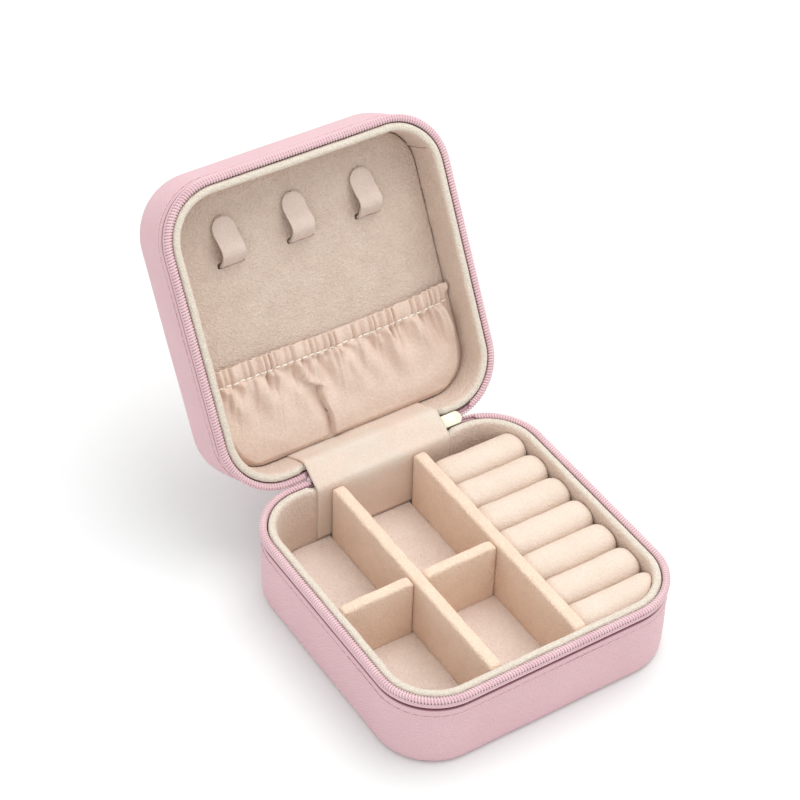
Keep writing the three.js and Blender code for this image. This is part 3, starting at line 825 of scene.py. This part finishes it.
def wall_liner(half, bottom, seed, seam_at=None):
    """The padded wall: a fat soft lip over a thinner lining that goes down to the floor."""
    outside = [(3.05, bottom), (3.05, -6.6)]
    lip = [(2.3, -6.1), (2.12, -4.2), (2.08, -2.0), (2.16, -0.9), (2.5, -0.36), (3.1, -0.14), (3.85, -0.2)]
    lip += [(4.5, -0.62), (4.82, -1.6), (4.9, -3.4), (4.95, -5.0), (4.92, -8.0)]
    lining = [(4.95, 0.5 * (bottom - 8)), (4.9, bottom + 1), (4.85, bottom)]
    profile = np.vstack([outside, curve(lip, 30), lining])
    s = columns(1.0, 26)
    if seam_at is not None:
        s = np.sort(np.concatenate([s, seam_at + np.linspace(-0.9, 0.9, 13)]))
    inset, height = [np.repeat(profile[None, :, k], len(s), 0) for k in (0, 1)]
    back = np.minimum(s % AROUND, AROUND - s % AROUND)
    sink = LIP_SINK * smooth((FLAP_HALF + 2.6 - back) / 2.0)[:, None]
    height = np.where(height > -8, height - sink * smooth((height + 8) / 5), height)
    places = at_inset(s, 0 * inset, height).reshape(-1, 3)
    soft = 0.07 * ripple(places, 14, seed) + 0.035 * ripple(places, 3.5, seed + 1)
    soft = soft.reshape(inset.shape)
    inset = inset + soft * ((inset > 3.2) | (height > -5))
    height = height + 0.6 * soft * (height > -1.5)
    if seam_at is not None:
        groove = bump_at(s - seam_at, 0.38) - 0.45 * bump_at(s - seam_at - 1.0, 0.6)
        inset = inset - groove[:, None] * (inset > 3.2) * smooth((-height - 2.0) / 2.5)
    part = Part()
    u = np.append(s, s[0] + AROUND)
    part.grid(at_inset(s, inset, height), u, measured(profile), loop_u=True, loop_v=True)
    part.moved(PLACE[half])
    obj = piece(f"{half}_wall_velvet", part, LINER, "cream_velvet", half, f"{half}_wall_liner")


def measured(profile):
    """Flat positions round a liner's profile: 23 mm on top of its lip, falling faster on the inside."""
    tall = lengths_along(profile, closed=True)
    past = tall - tall[int(np.argmax(profile[:, 1]))]
    return 23 - np.where(past > 0, 1.6 * past, -0.55 * past)


# ---------------------------------------------------------------- inside the base


def floor_pad(name, low, high, seed):
    """A thin velvet pad that fills a rectangle of the base's inside, its edges turned down."""
    corners = np.array([low, (high[0], low[1]), high, (low[0], high[1])])
    side = np.linspace(0, 1, 24, endpoint=False)[:, None]
    loop = np.vstack([a + (b - a) * side for a, b in zip(corners, np.roll(corners, -1, axis=0))])
    loop = inside(loop, LINER_INSET + 0.12)
    middle = loop.mean(0)
    reach = np.linalg.norm(loop - middle, axis=1).mean()
    # Distance in from the edge, and depth below the top
    rim = [(0.3, 2.3), (0.02, 1.9), (0, 0.5), (0.08, 0.22), (0.28, 0.05), (0.6, 0), (1.2, 0), (2.0, 0)]
    rows = [(1 - into / reach, depth) for into, depth in rim]
    rows += [(share * rows[-1][0], 0) for share in (0.9, 0.78, 0.64, 0.48, 0.3, 0.13, 0.01)]
    grid = np.empty((len(loop), len(rows), 3))
    for k, (share, depth) in enumerate(rows):
        grid[:, k, :2] = middle + (loop - middle) * share
        grid[:, k, 2] = FLOOR_TOP - 0.12 - depth
    rise = smooth((np.arange(len(rows)) - 4) / 8)
    grid[..., 2] += rise * (0.25 + 0.1 * ripple(grid[..., :2], 11, seed))
    part = Part().rings(grid, lengths_along(loop, closed=True))
    piece(name, part, FLOOR_VELVET, "rose_velvet", "base", "floor_pad")


def floor_pads():
    """One pad in each compartment, and a long one under the ring rolls."""
    left, right = box_mm("divider_left"), box_mm("divider_right")
    cross = box_mm("cross_divider_left")
    wall = HALF_SIDE - LINER_INSET
    spans = [
        ("floor_pad_back_left", -wall, left[0][0], cross[1][1], wall),
        ("floor_pad_back_middle", left[1][0], right[0][0], cross[1][1], wall),
        ("floor_pad_front_left", -wall, left[0][0], -wall, cross[0][1]),
        ("floor_pad_front_middle", left[1][0], right[0][0], -wall, cross[0][1]),
        ("floor_pad_right", right[1][0], wall, -wall, wall),
    ]
    overlap = 0.02
    for seed, (name, x0, x1, y0, y1) in enumerate(spans, 40):
        floor_pad(name, (x0 - overlap, y0 - overlap), (x1 + overlap, y1 + overlap), seed)


def velvet_board(node, seed, lengthwise):
    """A board wrapped in velvet, with a soft rounded top edge and rounded upper corners."""
    lo, hi = box_mm(node)
    lo, hi = lo - [0.12, 0.12, 1.9], hi + [0.12, 0.12, 0.12]

    def soften(p):
        q = p.copy()
        # The ends round over at the top, seen from the side
        middle, half = (lo + hi) / 2, (hi - lo) / 2
        far = np.abs(p[:, lengthwise] - middle[lengthwise]) - half[lengthwise] + 2.6
        q[:, 2] -= 0.9 * (np.maximum(far, 0) / 2.6) ** 2.2 * smooth((p[:, 2] - hi[2] + 4) / 4)
        side = 1 - lengthwise
        q[:, side] = middle[side] + (p[:, side] - middle[side]) * (1 + 0.035 * ripple(p, 9, seed))
        q[:, 2] += 0.12 * ripple(p[:, [lengthwise]], 8, seed + 1) * smooth((p[:, 2] - hi[2] + 3) / 3)
        return q

    part = rounded_box(lo, hi, 1.05, 1.1).moved(soften)
    piece(node + "_velvet", part, BOARD_VELVET, "beige_velvet", "base", node)


def inflate(part, pressure, cap):
    """Blows up a closed cloth shape from inside with Blender's cloth; no point moves further than cap."""
    frames, scale = 16, 12.0  # the cloth solver suits a shape this many times larger
    obj = as_object("cloth_start", part, ROLL_VELVET)
    before = points_of(obj.data)
    obj.data.vertices.foreach_set("co", (before * scale * MM).astype(np.float32).ravel())
    obj.data.update()
    cloth = obj.modifiers.new("Cloth", "CLOTH")
    settings = cloth.settings
    settings.quality = 6
    settings.mass = 0.3
    settings.tension_stiffness = settings.compression_stiffness = 18
    settings.shear_stiffness = 8
    settings.bending_stiffness = 0.6
    settings.use_pressure = True
    settings.uniform_pressure_force = pressure
    settings.effector_weights.gravity = 0
    cloth.point_cache.frame_start, cloth.point_cache.frame_end = 1, frames
    scene = bpy.context.scene
    for number in range(1, frames + 1):
        scene.frame_set(number)
    graph = bpy.context.evaluated_depsgraph_get()
    step = points_of(obj.evaluated_get(graph).data) / scale - before
    far = np.linalg.norm(step, axis=1, keepdims=True)
    after = before + step * np.minimum(1, cap / np.maximum(far, 1e-9))
    scene.frame_set(1)
    faces = [list(face.vertices) for face in obj.data.polygons]
    flat = np.empty(len(obj.data.loops) * 2, np.float32)
    obj.data.uv_layers["flat"].data.foreach_get("uv", flat)
    bpy.data.objects.remove(obj, do_unlink=True)
    return Part().add(after, faces, flat)


def roll_part(x0, x1, y, z):
    """A closed squarish tube from x0 to x1, drawn in a little at its near end and rounded at its far one."""
    round_end, sides = 4.2, 40
    stations = np.concatenate([[0.0, 0.25, 0.8, 1.7], np.linspace(2.8, x1 - x0 - round_end - 1.0, 18)])
    tail = np.linspace(0, math.pi / 2, 9)[1:-1]
    xs = np.concatenate([x0 + stations, x1 - round_end + round_end * np.sin(tail)])
    near = 1 - 0.16 * (1 - smooth(stations / 2.2))
    radius = ROLL_R * np.concatenate([near, 0.52 + 0.48 * np.cos(tail) ** 0.8])
    turn = np.linspace(0, 2 * math.pi, sides, endpoint=False)
    grid = np.empty((len(xs), sides, 3))
    grid[..., 0] = xs[:, None]
    for axis, middle, wave in ((1, y, np.cos(turn)), (2, z, np.sin(turn))):
        grid[..., axis] = middle + radius[:, None] * np.sign(wave) * np.abs(wave) ** 0.8
    v = np.linspace(0, sides - 1, sides + 1)
    part = Part().grid(grid, xs, v, loop_v=True)
    # The flat ends close with a smaller ring and a face
    for row, x in ((0, x0), (-1, x1)):
        centre = np.array([x, y, z])
        small = centre + (grid[row] - centre) * 0.5
        small[:, 0] = x
        both = [grid[row], small] if row else [small, grid[row]]
        first = part.count + (sides if row else 0)
        part.grid(np.stack(both), [0, 3], v, loop_v=True)
        face = [first + k for k in range(sides)]
        part.cap(face if row else face[::-1])
    return part


def ring_rolls():
    """Seven padded rolls side by side: each a stuffed velvet tube with a rounded far end."""
    for k in range(1, 8):
        node = f"ring_roll_{k}"
        lo, hi = box_mm(node)
        _, y, z = (lo + hi) / 2
        part = inflate(roll_part(lo[0] - 0.25, hi[0] + 0.5, y, z), 3.5, 0.42)

        def settle(p, y=y, z=z, seed=60 + k):
            q = p.copy()
            # Neighbours press each other flat where they touch
            side = (q[:, 1] - y) * (1 + 0.012 * ripple(p, 12, seed))
            q[:, 1] = y + np.sign(side) * np.minimum(np.abs(side), ROLL_PRESSED)
            q[:, 2] += 0.16 * ripple(p[:, :2], 11, seed + 7) * smooth((p[:, 2] - z) / 4)
            return inside(q, LINER_INSET + 0.12)

        obj = piece(node + "_velvet", part.moved(settle), ROLL_VELVET, "rose_velvet", "base", node)


def ring_tray():
    """The velvet-covered bed that the rolls lie on."""
    part = rounded_box(*box_mm("ring_tray"), 1.0, 3.0)
    part.moved(lambda p: inside(p, LINER_INSET + 0.3))
    piece("ring_tray_velvet", part, BOARD_VELVET, "beige_velvet", "base", "ring_tray")


# ---------------------------------------------------------------- inside the lid


HOOK_X = (-25.6, -0.8, 24.0)
HOOK_ROOT_Y = -70.0
HOOK_WIDTH = 7.8
SLIT_HALF = HOOK_WIDTH / 2 + 0.9
HOOK_SIDE_VIEW = [  # y from the slit and height from the panel's face, from inside the slit to the tip
    (0.0, 1.45),
    (-0.3, -0.3),
    (-1.5, -2.5),
    (-3.4, -4.4),
    (-5.6, -4.75),
    (-7.7, -3.5),
    (-9.8, -1.9),
    (-12.2, -1.15),
    (-15.4, -0.8),
]


def lid_panel():
    """The lid's velvet panel, with a slit for each strap."""
    s = columns(2.0, 18)
    # Distance in from the panel's edge, and depth from the rim
    rows = [(0.4, 2.0), (0.0, 1.6), (0.0, 0.7), (0.12, 0.3), (0.4, 0.07), (0.9, 0), (4.0, 0), (9.0, 0)]
    rows = np.array(rows)
    grid = at_inset(s, LINER_INSET + 0.22 + rows[:, 0], -PANEL_DEPTH - rows[:, 1])
    middle = grid[:, -1:] * np.array([0.8, 0.6, 0.4, 0.2, 0.02])[:, None]
    middle[..., 2] = -PANEL_DEPTH
    part = Part().rings(np.concatenate([grid, middle], 1), np.append(s, s[0] + AROUND))
    obj = as_object("lid_panel_velvet", part.moved(half_in_lid), PANEL_VELVET)
    low, high = (-SLIT_HALF, -1.5, PANEL_DEPTH - 2), (SLIT_HALF, 0.3, PANEL_DEPTH + 4)
    for x in HOOK_X:
        cutter = rounded_box(low, high, 0.6, 1.5)
        cutter.moved(lambda p, x=x: in_lid(p + [x, HOOK_ROOT_Y, 0]))
        tool = as_object("slit", cutter, PANEL_VELVET)
        cut = obj.modifiers.new("slit", "BOOLEAN")
        cut.operation, cut.solver, cut.object = "DIFFERENCE", "EXACT", tool
        with_modifiers(obj)
        bpy.data.objects.remove(tool, do_unlink=True)
    obj.data.set_sharp_from_angle(angle=math.radians(35))
    stands_in(obj, "beige_velvet", "lid", "lid_panel")


def hook(number, x):
    """A strap that comes out of its slit, bulges, and bends up to a rounded tip near the panel."""
    view = curve(HOOK_SIDE_VIEW, 48)
    for _ in range(14):
        view[1:-1] = 0.25 * view[:-2] + 0.5 * view[1:-1] + 0.25 * view[2:]
    view = respaced(view, 48)
    along = lengths_along(view)
    left = along[-1] - along
    r = HOOK_WIDTH / 2
    half = np.where(left < r, np.sqrt(np.maximum(r**2 - (r - left) ** 2, 0.02)), r)
    across = np.sin(np.linspace(-1, 1, 17) * math.pi / 2)
    grid = np.empty((len(view), len(across), 3))
    grid[..., 0] = half[:, None] * across[None]
    cup = 0.3 * (across[None] ** 2) * smooth(along / 9)[:, None]
    shift = cup + 0.05 * ripple(grid[..., :1] + along[:, None, None], 5, 80 + number)
    grid[..., 1:] = view[:, None] - beside(view)[:, None] * shift[..., None]
    grid[..., 2] += PANEL_DEPTH
    part = Part().thick(grid, along, half.max() * across, 0.95)
    part.moved(lambda p: in_lid(p + [x, HOOK_ROOT_Y, 0]))
    obj = as_object(f"hook_{number}_strap_velvet", part, STRAP_VELVET)
    bevel = obj.modifiers.new("edges", "BEVEL")
    bevel.width, bevel.segments = 0.22 * MM, 2
    bevel.limit_method, bevel.angle_limit = "ANGLE", math.radians(40)
    bevel.harden_normals = False
    with_modifiers(obj)
    stands_in(obj, "strap_velvet", f"hook_{number}_strap", f"hook_{number}")


POCKET_TOP, POCKET_SEAM, POCKET_END = -39.4, -34.4, -5.6
TUCK = [(-11.6, -34.4), (-11.8, -32.5), (-11.6, -30.3), (-13.4, -27.9), (-13.9, -26.8)]
SHELF_START, SHELF_END = (-13.9, -27.4), (-7.7, -23.6)
PLEAT = [(-7.6, -24.4), (-8.5, -21.3), (-7.8, -17.9), (-7.0, -14.2)]
PLEAT += [(-6.8, -10.7), (-7.0, -7.3), (-7.6, -5.0)]


def gathers(x):
    """Uneven puckers along the elastic, 0 in the valleys and 1 on the ridges."""
    phase = x / 2.7 + 0.3 * np.sin(x * 0.31 + 1.0) + 0.2 * np.sin(x * 0.83)
    ridge = 0.5 + 0.5 * np.sin(2 * math.pi * phase)
    return ridge**0.85 * (0.85 + 0.2 * np.sin(x * 1.7 + 0.6) + 0.15 * np.sin(x * 0.57 + 2))


def soft_folds(x, below):
    """Soft folds that fan out and fade below the gathered heading."""
    rng = np.random.default_rng(5)
    total = np.zeros(np.broadcast(x, below).shape)
    for x0 in np.linspace(-41, 41, 30):
        x0, lean = x0 + rng.normal(0, 0.8), rng.uniform(-0.15, 0.35)
        reach, width = rng.uniform(10, 23), rng.uniform(0.95, 1.7)
        deep = rng.uniform(1.1, 2.2) * rng.choice([-1, 1], p=[0.3, 0.7])
        path = x0 + lean * below + 0.6 * np.sin(below / 5 + x0)
        wide = width * (1 + below / 15)
        fold = bump_at(x - path, wide) - 0.5 * bump_at(x - path - 1.8 * wide, wide)
        total += deep * fold * smooth(below / 2) * (1 - smooth(below / reach) ** 1.5)
    return total


def pleat_depth(x, y):
    """The deep pleat: cloth sunk to the left of its folded edge, under a shelf that slants across its top."""
    fold, tuck = np.array(PLEAT), np.array(TUCK)
    left = x - np.interp(y, fold[:, 1], fold[:, 0])
    slope = (SHELF_END[1] - SHELF_START[1]) / (SHELF_END[0] - SHELF_START[0])
    under = y - (SHELF_START[1] + slope * (x - SHELF_START[0]))
    width = 7.4 - 3.2 * smooth((y + 25) / 16)
    share = np.clip(1 + np.minimum(left, 0) / width, 0, 1)
    sunk = 2.7 * share**1.4 * smooth(-left / 0.45 + 0.5) * smooth(under / 0.7 + 0.3)
    sunk = sunk * (1 - 0.4 * smooth((y + 10) / 5))
    proud = 0.95 * bump_at(np.maximum(left, 0), 3.4) * smooth(left / 0.45 + 0.5) * smooth((y + 25) / 2)
    proud = proud + 0.45 * bump_at(under, 2.0) * (under < 0) * smooth((x + 15) / 1.5) * smooth((-6 - x) / 2)
    beside = x - np.interp(y, tuck[:, 1], tuck[:, 0])
    above = smooth((y + 35) / 1.2) * smooth((-26.5 - y) / 1.5)
    crease = (0.9 * bump_at(beside, 0.45) - 0.5 * bump_at(beside - 1.3, 0.9)) * above
    return sunk - proud + crease


def pocket_cloth_height(x, y):
    """Height of the pocket's front from the rim, at a place on the panel."""
    below = np.maximum(y - POCKET_SEAM, 0)
    down = np.clip(below / (POCKET_END - POCKET_SEAM), 0, 1)
    level = 10.9 - 1.0 * np.sin(math.pi * down**0.8) ** 0.8 + 0.5 * smooth((down - 0.72) / 0.28)
    over = np.clip((POCKET_SEAM - y) / (POCKET_SEAM - POCKET_TOP), 0, 1)
    level = np.where(y < POCKET_SEAM, 10.9 - 0.35 * np.sin(math.pi * over), level)
    pinch = bump_at(y - POCKET_SEAM, 0.7)
    fade = np.where(y < POCKET_SEAM, 1.0, np.exp(-((below / 7.0) ** 1.2))) * (1 - 0.3 * pinch)
    fan = x - 0.035 * x * below / 10
    height = level + 0.3 * pinch - 1.5 * (gathers(fan) - 0.5) * fade
    height = height + soft_folds(x, below)
    height = height + 0.28 * ripple(np.stack([x, y], -1), 15, 9) * smooth(down * 6) * smooth((1 - down) * 5)
    return height + pleat_depth(x, y)


def pocket():
    """Gathered cloth across the hinge end of the lid panel, on an elastic heading."""
    above = np.linspace(POCKET_TOP, POCKET_SEAM, 22, endpoint=False)
    rows = np.concatenate([above, np.linspace(POCKET_SEAM, POCKET_END, 78)])
    wide = HALF_SIDE - LINER_INSET - 0.35
    r = CORNER_R - LINER_INSET - 0.35
    centre_y = -HINGE[1] + HALF_SIDE  # back edge of the outline, in the lid's frame
    from_core = np.maximum(rows - (centre_y - CORNER_R), 0)
    half = wide - r + np.sqrt(np.maximum(r**2 - from_core**2, 0))
    across = np.linspace(-1, 1, 420)
    x = half[:, None] * across[None]
    fold = np.array(PLEAT)
    middle = fold[:, 0].mean()
    x = x + (np.interp(rows, fold[:, 1], fold[:, 0])[:, None] - middle) * bump_at(x - middle, 9)
    row_y = np.repeat(rows[:, None], len(across), 1)
    sag = 0.9 * smooth(1 - np.abs(x / wide)) * bump_at(x - 12, 30) - 0.9 * smooth((x - 28) / 16)
    y = row_y + sag * smooth((POCKET_SEAM + 6 - row_y) / 11)
    height = pocket_cloth_height(x, row_y)
    # Tucked in round its three sewn sides
    edge = np.minimum(half[:, None] - np.abs(x), 12)
    tuck = 1.0 - smooth(edge / 3.2)
    height = height + (PANEL_DEPTH - 0.55 - height) * tuck * smooth((y - POCKET_TOP) / 3)
    low = 1.0 - smooth((POCKET_END - rows)[:, None] / 1.9)
    height = height + (PANEL_DEPTH - 0.55 - height) * low
    height = np.minimum(height, PANEL_DEPTH - 0.45)
    grid = np.stack([x, y, height], -1)
    # The heading turns over the elastic and goes down behind it
    turned = []
    for a, back in ((1.57, 3.2), (1.57, 1.4), (1.57, 0.6), (1.2, 0.1), (0.55, 0.0)):
        row = grid[0].copy()
        row[:, 1] += back * 0.9 - 0.45 * math.sin(a)
        row[:, 2] = np.minimum(row[:, 2] + 0.55 * (1 - math.cos(a)) + 0.25 * back, PANEL_DEPTH - 0.3)
        turned.append(row)
    grid = np.concatenate([np.stack(turned), grid])
    down = lengths_along(grid[:, len(across) // 2])
    part = Part().thick(grid, down, wide * across, 0.32).moved(in_lid)
    obj = piece("pocket_cloth_gathered", part, POCKET_VELVET, "rose_velvet", "lid", "pocket_cloth")
    seam = grid[np.argmin(np.abs(grid[:, 0, 1] - POCKET_SEAM))]
    pocket_stitching(seam, wide)


def pocket_stitching(seam, wide):
    """The white running stitch along the heading."""
    thread = Part()
    for start in np.arange(-wide + 0.8, wide - 2.4, 2.5):
        xs = start + np.linspace(0, 1.75, 5)
        ys = np.interp(xs, seam[:, 0], seam[:, 1]) + 0.1 * np.sin(xs)
        level = np.interp(xs, seam[:, 0], seam[:, 2]).mean() - 0.34
        zs = level - 0.14 * np.sin(np.linspace(0, math.pi, 5))
        thread.tube(np.column_stack([xs, ys, zs]), 0.23, 6, up=(0, 1, 0.2))
    piece("pocket_stitching", thread.moved(in_lid), WHITE_THREAD, "elastic_band", "lid")


# ---------------------------------------------------------------- fabric across the hinge


def across_hinge(obj):
    """Makes a sheet's placement part of its mesh, as it is drawn across the hinge."""
    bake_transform(obj)


def hinge_path(half_path, lid_end, bridge=None):
    """y and z of a sheet seen from the side: down one half, across, and down the other.

    half_path is inset and depth from the floor end to the rim; lid_end is how deep it goes in the lid."""
    base = np.array([(HALF_SIDE - i, BASE_HEIGHT - d) for i, d in half_path])
    kept = [(i, d) for i, d in half_path[::-1] if d <= lid_end] + [(half_path[0][0], lid_end)]
    lid = in_lid(np.array([(0, -HINGE[1] + HALF_SIDE - i, d) for i, d in kept]))[:, 1:]
    return np.vstack([base, lid] if bridge is None else [base, bridge, lid])


def drawn_out(path, x):
    """A grid of points: the side view (y and z) at each x."""
    grid = np.empty((len(path), len(x), 3))
    grid[..., 0] = x[None]
    grid[..., 1:] = path[:, None]
    return grid


def fabric_flap():
    """One piece of velvet-faced fabric from the base's floor, over both lips, to the lid's panel."""
    half_path = [(5.15, 21.6), (5.15, 15), (5.15, 8), (5.18, 4.2), (5.08, 2.4), (4.75, 1.0), (4.2, 0.28)]
    path = curve(hinge_path([*half_path, (3.55, -0.1)], 12.6), 90)
    x = np.linspace(-FLAP_HALF, FLAP_HALF, 60)
    grid = drawn_out(path, x)
    at = lengths_along(path)
    places = np.stack([grid[..., 0], np.broadcast_to(at[:, None], grid.shape[:2])], -1)
    free = bump_at(at - at[-1] * 0.6, 9)[:, None]
    lift = 0.1 * ripple(places, 13, 21) + free * (0.22 * ripple(places, 22, 23) + 0.1)
    grid[..., 1:] += beside(path)[:, None] * lift[..., None]
    obj = as_object("hinge_flap_fabric", Part().thick(grid, at, x, 0.5), FLAP_VELVET)
    stands_in(obj, "cream_velvet", None, "base_hinge_flap", "lid_hinge_flap")
    across_hinge(obj)


def leather_hinge():
    """The strip of leather behind the hinge, tucked under both hems."""
    half_path = [(1.75, 9.5), (1.7, 6.0), (1.2, 4.7), (0.62, 3.7), (0.45, 2.4), (0.42, 1.1)]
    path = curve(hinge_path(half_path, 9.5, [(HINGE[1] - 0.2, HINGE[2] + 0.32)]), 60)
    x = np.linspace(-STRIP_HALF, STRIP_HALF, 24)
    part = Part().thick(drawn_out(path, x), lengths_along(path), x, 0.7)
    obj = as_object("hinge_leather_strip", part, STRIP)
    stands_in(obj, "pink_leather", None, "base_hinge_leather", "lid_hinge_leather")
    across_hinge(obj)


# ---------------------------------------------------------------- slider, pull and stops


def plate_part(half_length, half_width, low, high):
    """A small plate with a rounded nose towards +x, its edges rounded over."""
    nose, edge = 1.7, 0.22
    turn = np.linspace(-math.pi / 2, math.pi / 2, 15)
    tip = [(half_length - nose + nose * math.cos(a), half_width * math.sin(a)) for a in turn]
    heel = [(-half_length, half_width - 0.5), (-half_length, -half_width + 0.5)]
    heel = [(-half_length + 0.5, half_width), *heel, (-half_length + 0.5, -half_width)]
    loop = respaced(np.array(tip + heel + tip[:1]), 64)[:-1]
    middle = loop.mean(0)
    rows = [(0.35, low, 0.0), (1, low, edge), (1, low + edge, 0.0)]
    rows += [(1, high - edge, 0.0), (1, high, edge), (0.35, high, 0.0)]
    grid = np.empty((len(loop), len(rows), 3))
    for k, (share, level, pull) in enumerate(rows):
        grid[:, k, ::2] = middle + (loop - middle) * share - pull * unit(loop - middle)
        grid[:, k, 1] = level
    return Part().rings(grid, np.arange(len(loop) + 1) * 0.3)


def slider():
    """The zip's slider: two plates on a post, with a bail that the pull hangs from."""
    lo, hi = box_mm("slider_body")
    x, half = (lo[0] + hi[0]) / 2, (hi[0] - lo[0]) / 2
    turn = np.linspace(0, math.pi, 13)
    bail = [(2.4, 2.1), *[(2.4 * math.cos(a), 3.0 + 1.15 * math.sin(a)) for a in turn], (-2.4, 2.1)]
    whole = Part().join(
        plate_part(half, 2.1, -1.62, -1.02),
        plate_part(half - 0.15, 2.0, 1.72, 2.42),
        rounded_box((half - 4.4, -1.3, -0.38), (half - 2.2, 2.0, 0.38), 0.18, 0.6),
        Part().tube([(bx, by, 0) for bx, by in bail], 0.42, 10),
    )
    whole.moved(lambda p: in_zip(p + [x, 0, 0]))
    piece("slider_enamelled", whole, ENAMEL, "cream_enamel", "slider", "slider_body")


def zip_ends():
    """The tapes' folded ends at each side of the flap, whipped with thread."""
    turn = np.linspace(0, 2 * math.pi, 25)
    half = np.array([0.75, 1.0, 1.15])
    for name in ("zip_stop_left", "zip_stop_right"):
        lo, hi = box_mm(name)
        x = (lo[0] + hi[0]) / 2
        part = rounded_box(-half, half, 0.45, 0.5)
        part.moved(lambda p: p * (1 + 0.05 * ripple(p, 1.5, 3)[:, None]))
        for across in (-0.42, 0.0, 0.42):
            loop = np.column_stack([across + 0 * turn, 1.04 * np.cos(turn), 1.2 * np.sin(turn)])
            part.tube(loop, 0.13, 6, up=(1, 0, 0))
        part.moved(lambda p, x=x: in_zip(p + [x, 0, 0]))
        piece(name + "_whipped", part, ZIP_END, "zip_nylon", "zip_ends", name)


def pull_tab():
    """The pull: a ring round the slider's bail, a short neck and a flat rounded blade with a raised rim."""
    lo, hi = box_mm("pull_tab")
    x, y = (lo[0] + hi[0]) / 2, (lo[1] + hi[1]) / 2
    top = hi[2] - 1.5
    turn = np.linspace(0, 2 * math.pi, 29)
    circle = np.column_stack([0 * turn, 1.08 * np.sin(turn), 1.08 * np.cos(turn)])
    ring = Part().tube(circle, 0.36, 10, up=(1, 0, 0))
    half, drop, shoulder = (hi[0] - lo[0]) / 2, top - lo[2], 2.9
    bottom = np.linspace(0, math.pi, 17)
    edge = [(half * math.cos(a), -(drop - half) - half * math.sin(a)) for a in bottom]
    edge += [(-half, -shoulder - 2.0), (-1.3, -shoulder), (1.3, -shoulder), (half, -shoulder - 2.0)]
    loop = respaced(np.array(edge + edge[:1]), 73)[:-1]
    middle = np.array([0, loop[:, 1].mean()])
    u = np.arange(len(loop) + 1) * 0.5
    # Inset from the edge and height off the middle plane: a rolled rim round a sunk face
    rim = [(0.0, 0.12), (0.08, 0.36), (0.26, 0.5), (0.46, 0.46), (0.62, 0.3)]
    rows = [(loop - into * unit(loop - middle), level) for into, level in rim]
    rows += [(middle + (loop - middle) * share, 0.28) for share in (0.55, 0.25, 0.02)]

    def standing(rows):
        """A grid of points from rows of flat points, each at its level."""
        return np.stack([np.insert(at, 1, level, axis=1) for at, level in rows], 1)

    blade = Part()
    for side in (1, -1):
        grid = standing([(at, side * level) for at, level in rows])[::side]
        first = blade.count + len(rows) - 1
        blade.grid(grid, u, np.arange(len(rows)) * 0.5, loop_u=True)
        blade.cap([first + k * len(rows) for k in range(len(loop))])
    blade.grid(standing([(loop, -0.12), (loop, 0.12)]), u, [0, 0.3], loop_u=True)
    neck = rounded_box((-0.72, -0.42, -shoulder - 0.6), (0.72, 0.42, -0.95), 0.3, 0.6)
    whole = Part().join(ring, blade, neck).moved(lambda p: p + [x, y, top])
    piece("pull_tab_enamelled", whole, ENAMEL, "cream_enamel", "pull", "pull_tab")


def cad_finishes():
    """Finishes for the CAD pieces that stay as they are, all but hidden inside the case's walls."""
    kept = {"base_board": BOARD, "lid_board": BOARD, "lid_foam": FOAM, "pocket_elastic": ELASTIC}
    for name, finish in kept.items():
        node = frame["nodes"][name]
        node.data.materials.clear()
        node.data.materials.append(finish)


# ---------------------------------------------------------------- the case


camera()
studio()
cad_finishes()

cover("base", BASE_HEM, BASE_HEIGHT, BASE_FILLET, 0.0, 1)
cover("lid", LID_HEM, LID_HEIGHT, LID_FILLET, 0.8, 2)

COIL_START = FLAP_HALF + 0.3
COIL_END_X = 32.9  # inside the slider
COIL_END = STRAIGHT / 2 + CORNER_R * math.asin((COIL_END_X - STRAIGHT / 2) / CORNER_R)
BASE_END = AROUND - COIL_END
zip_tape("base", BASE_END)
zip_tape("lid", COIL_END)
zip_coil("base", COIL_START, BASE_END, BASE_END)
zip_coil("lid", COIL_END, AROUND - COIL_START, COIL_END)

wall_liner("base", -BASE_HEIGHT + 3.2, 11)
wall_liner("lid", -PANEL_DEPTH - 1.8, 14, seam_at=130.0)

floor_pads()
velvet_board("divider_left", 31, 1)
velvet_board("divider_right", 33, 1)
velvet_board("cross_divider_left", 35, 0)
velvet_board("cross_divider_right", 37, 0)
ring_tray()
ring_rolls()

lid_panel()
for number, x in enumerate(HOOK_X, 1):
    hook(number, x)
pocket()

fabric_flap()
leather_hinge()
slider()
zip_ends()
pull_tab()
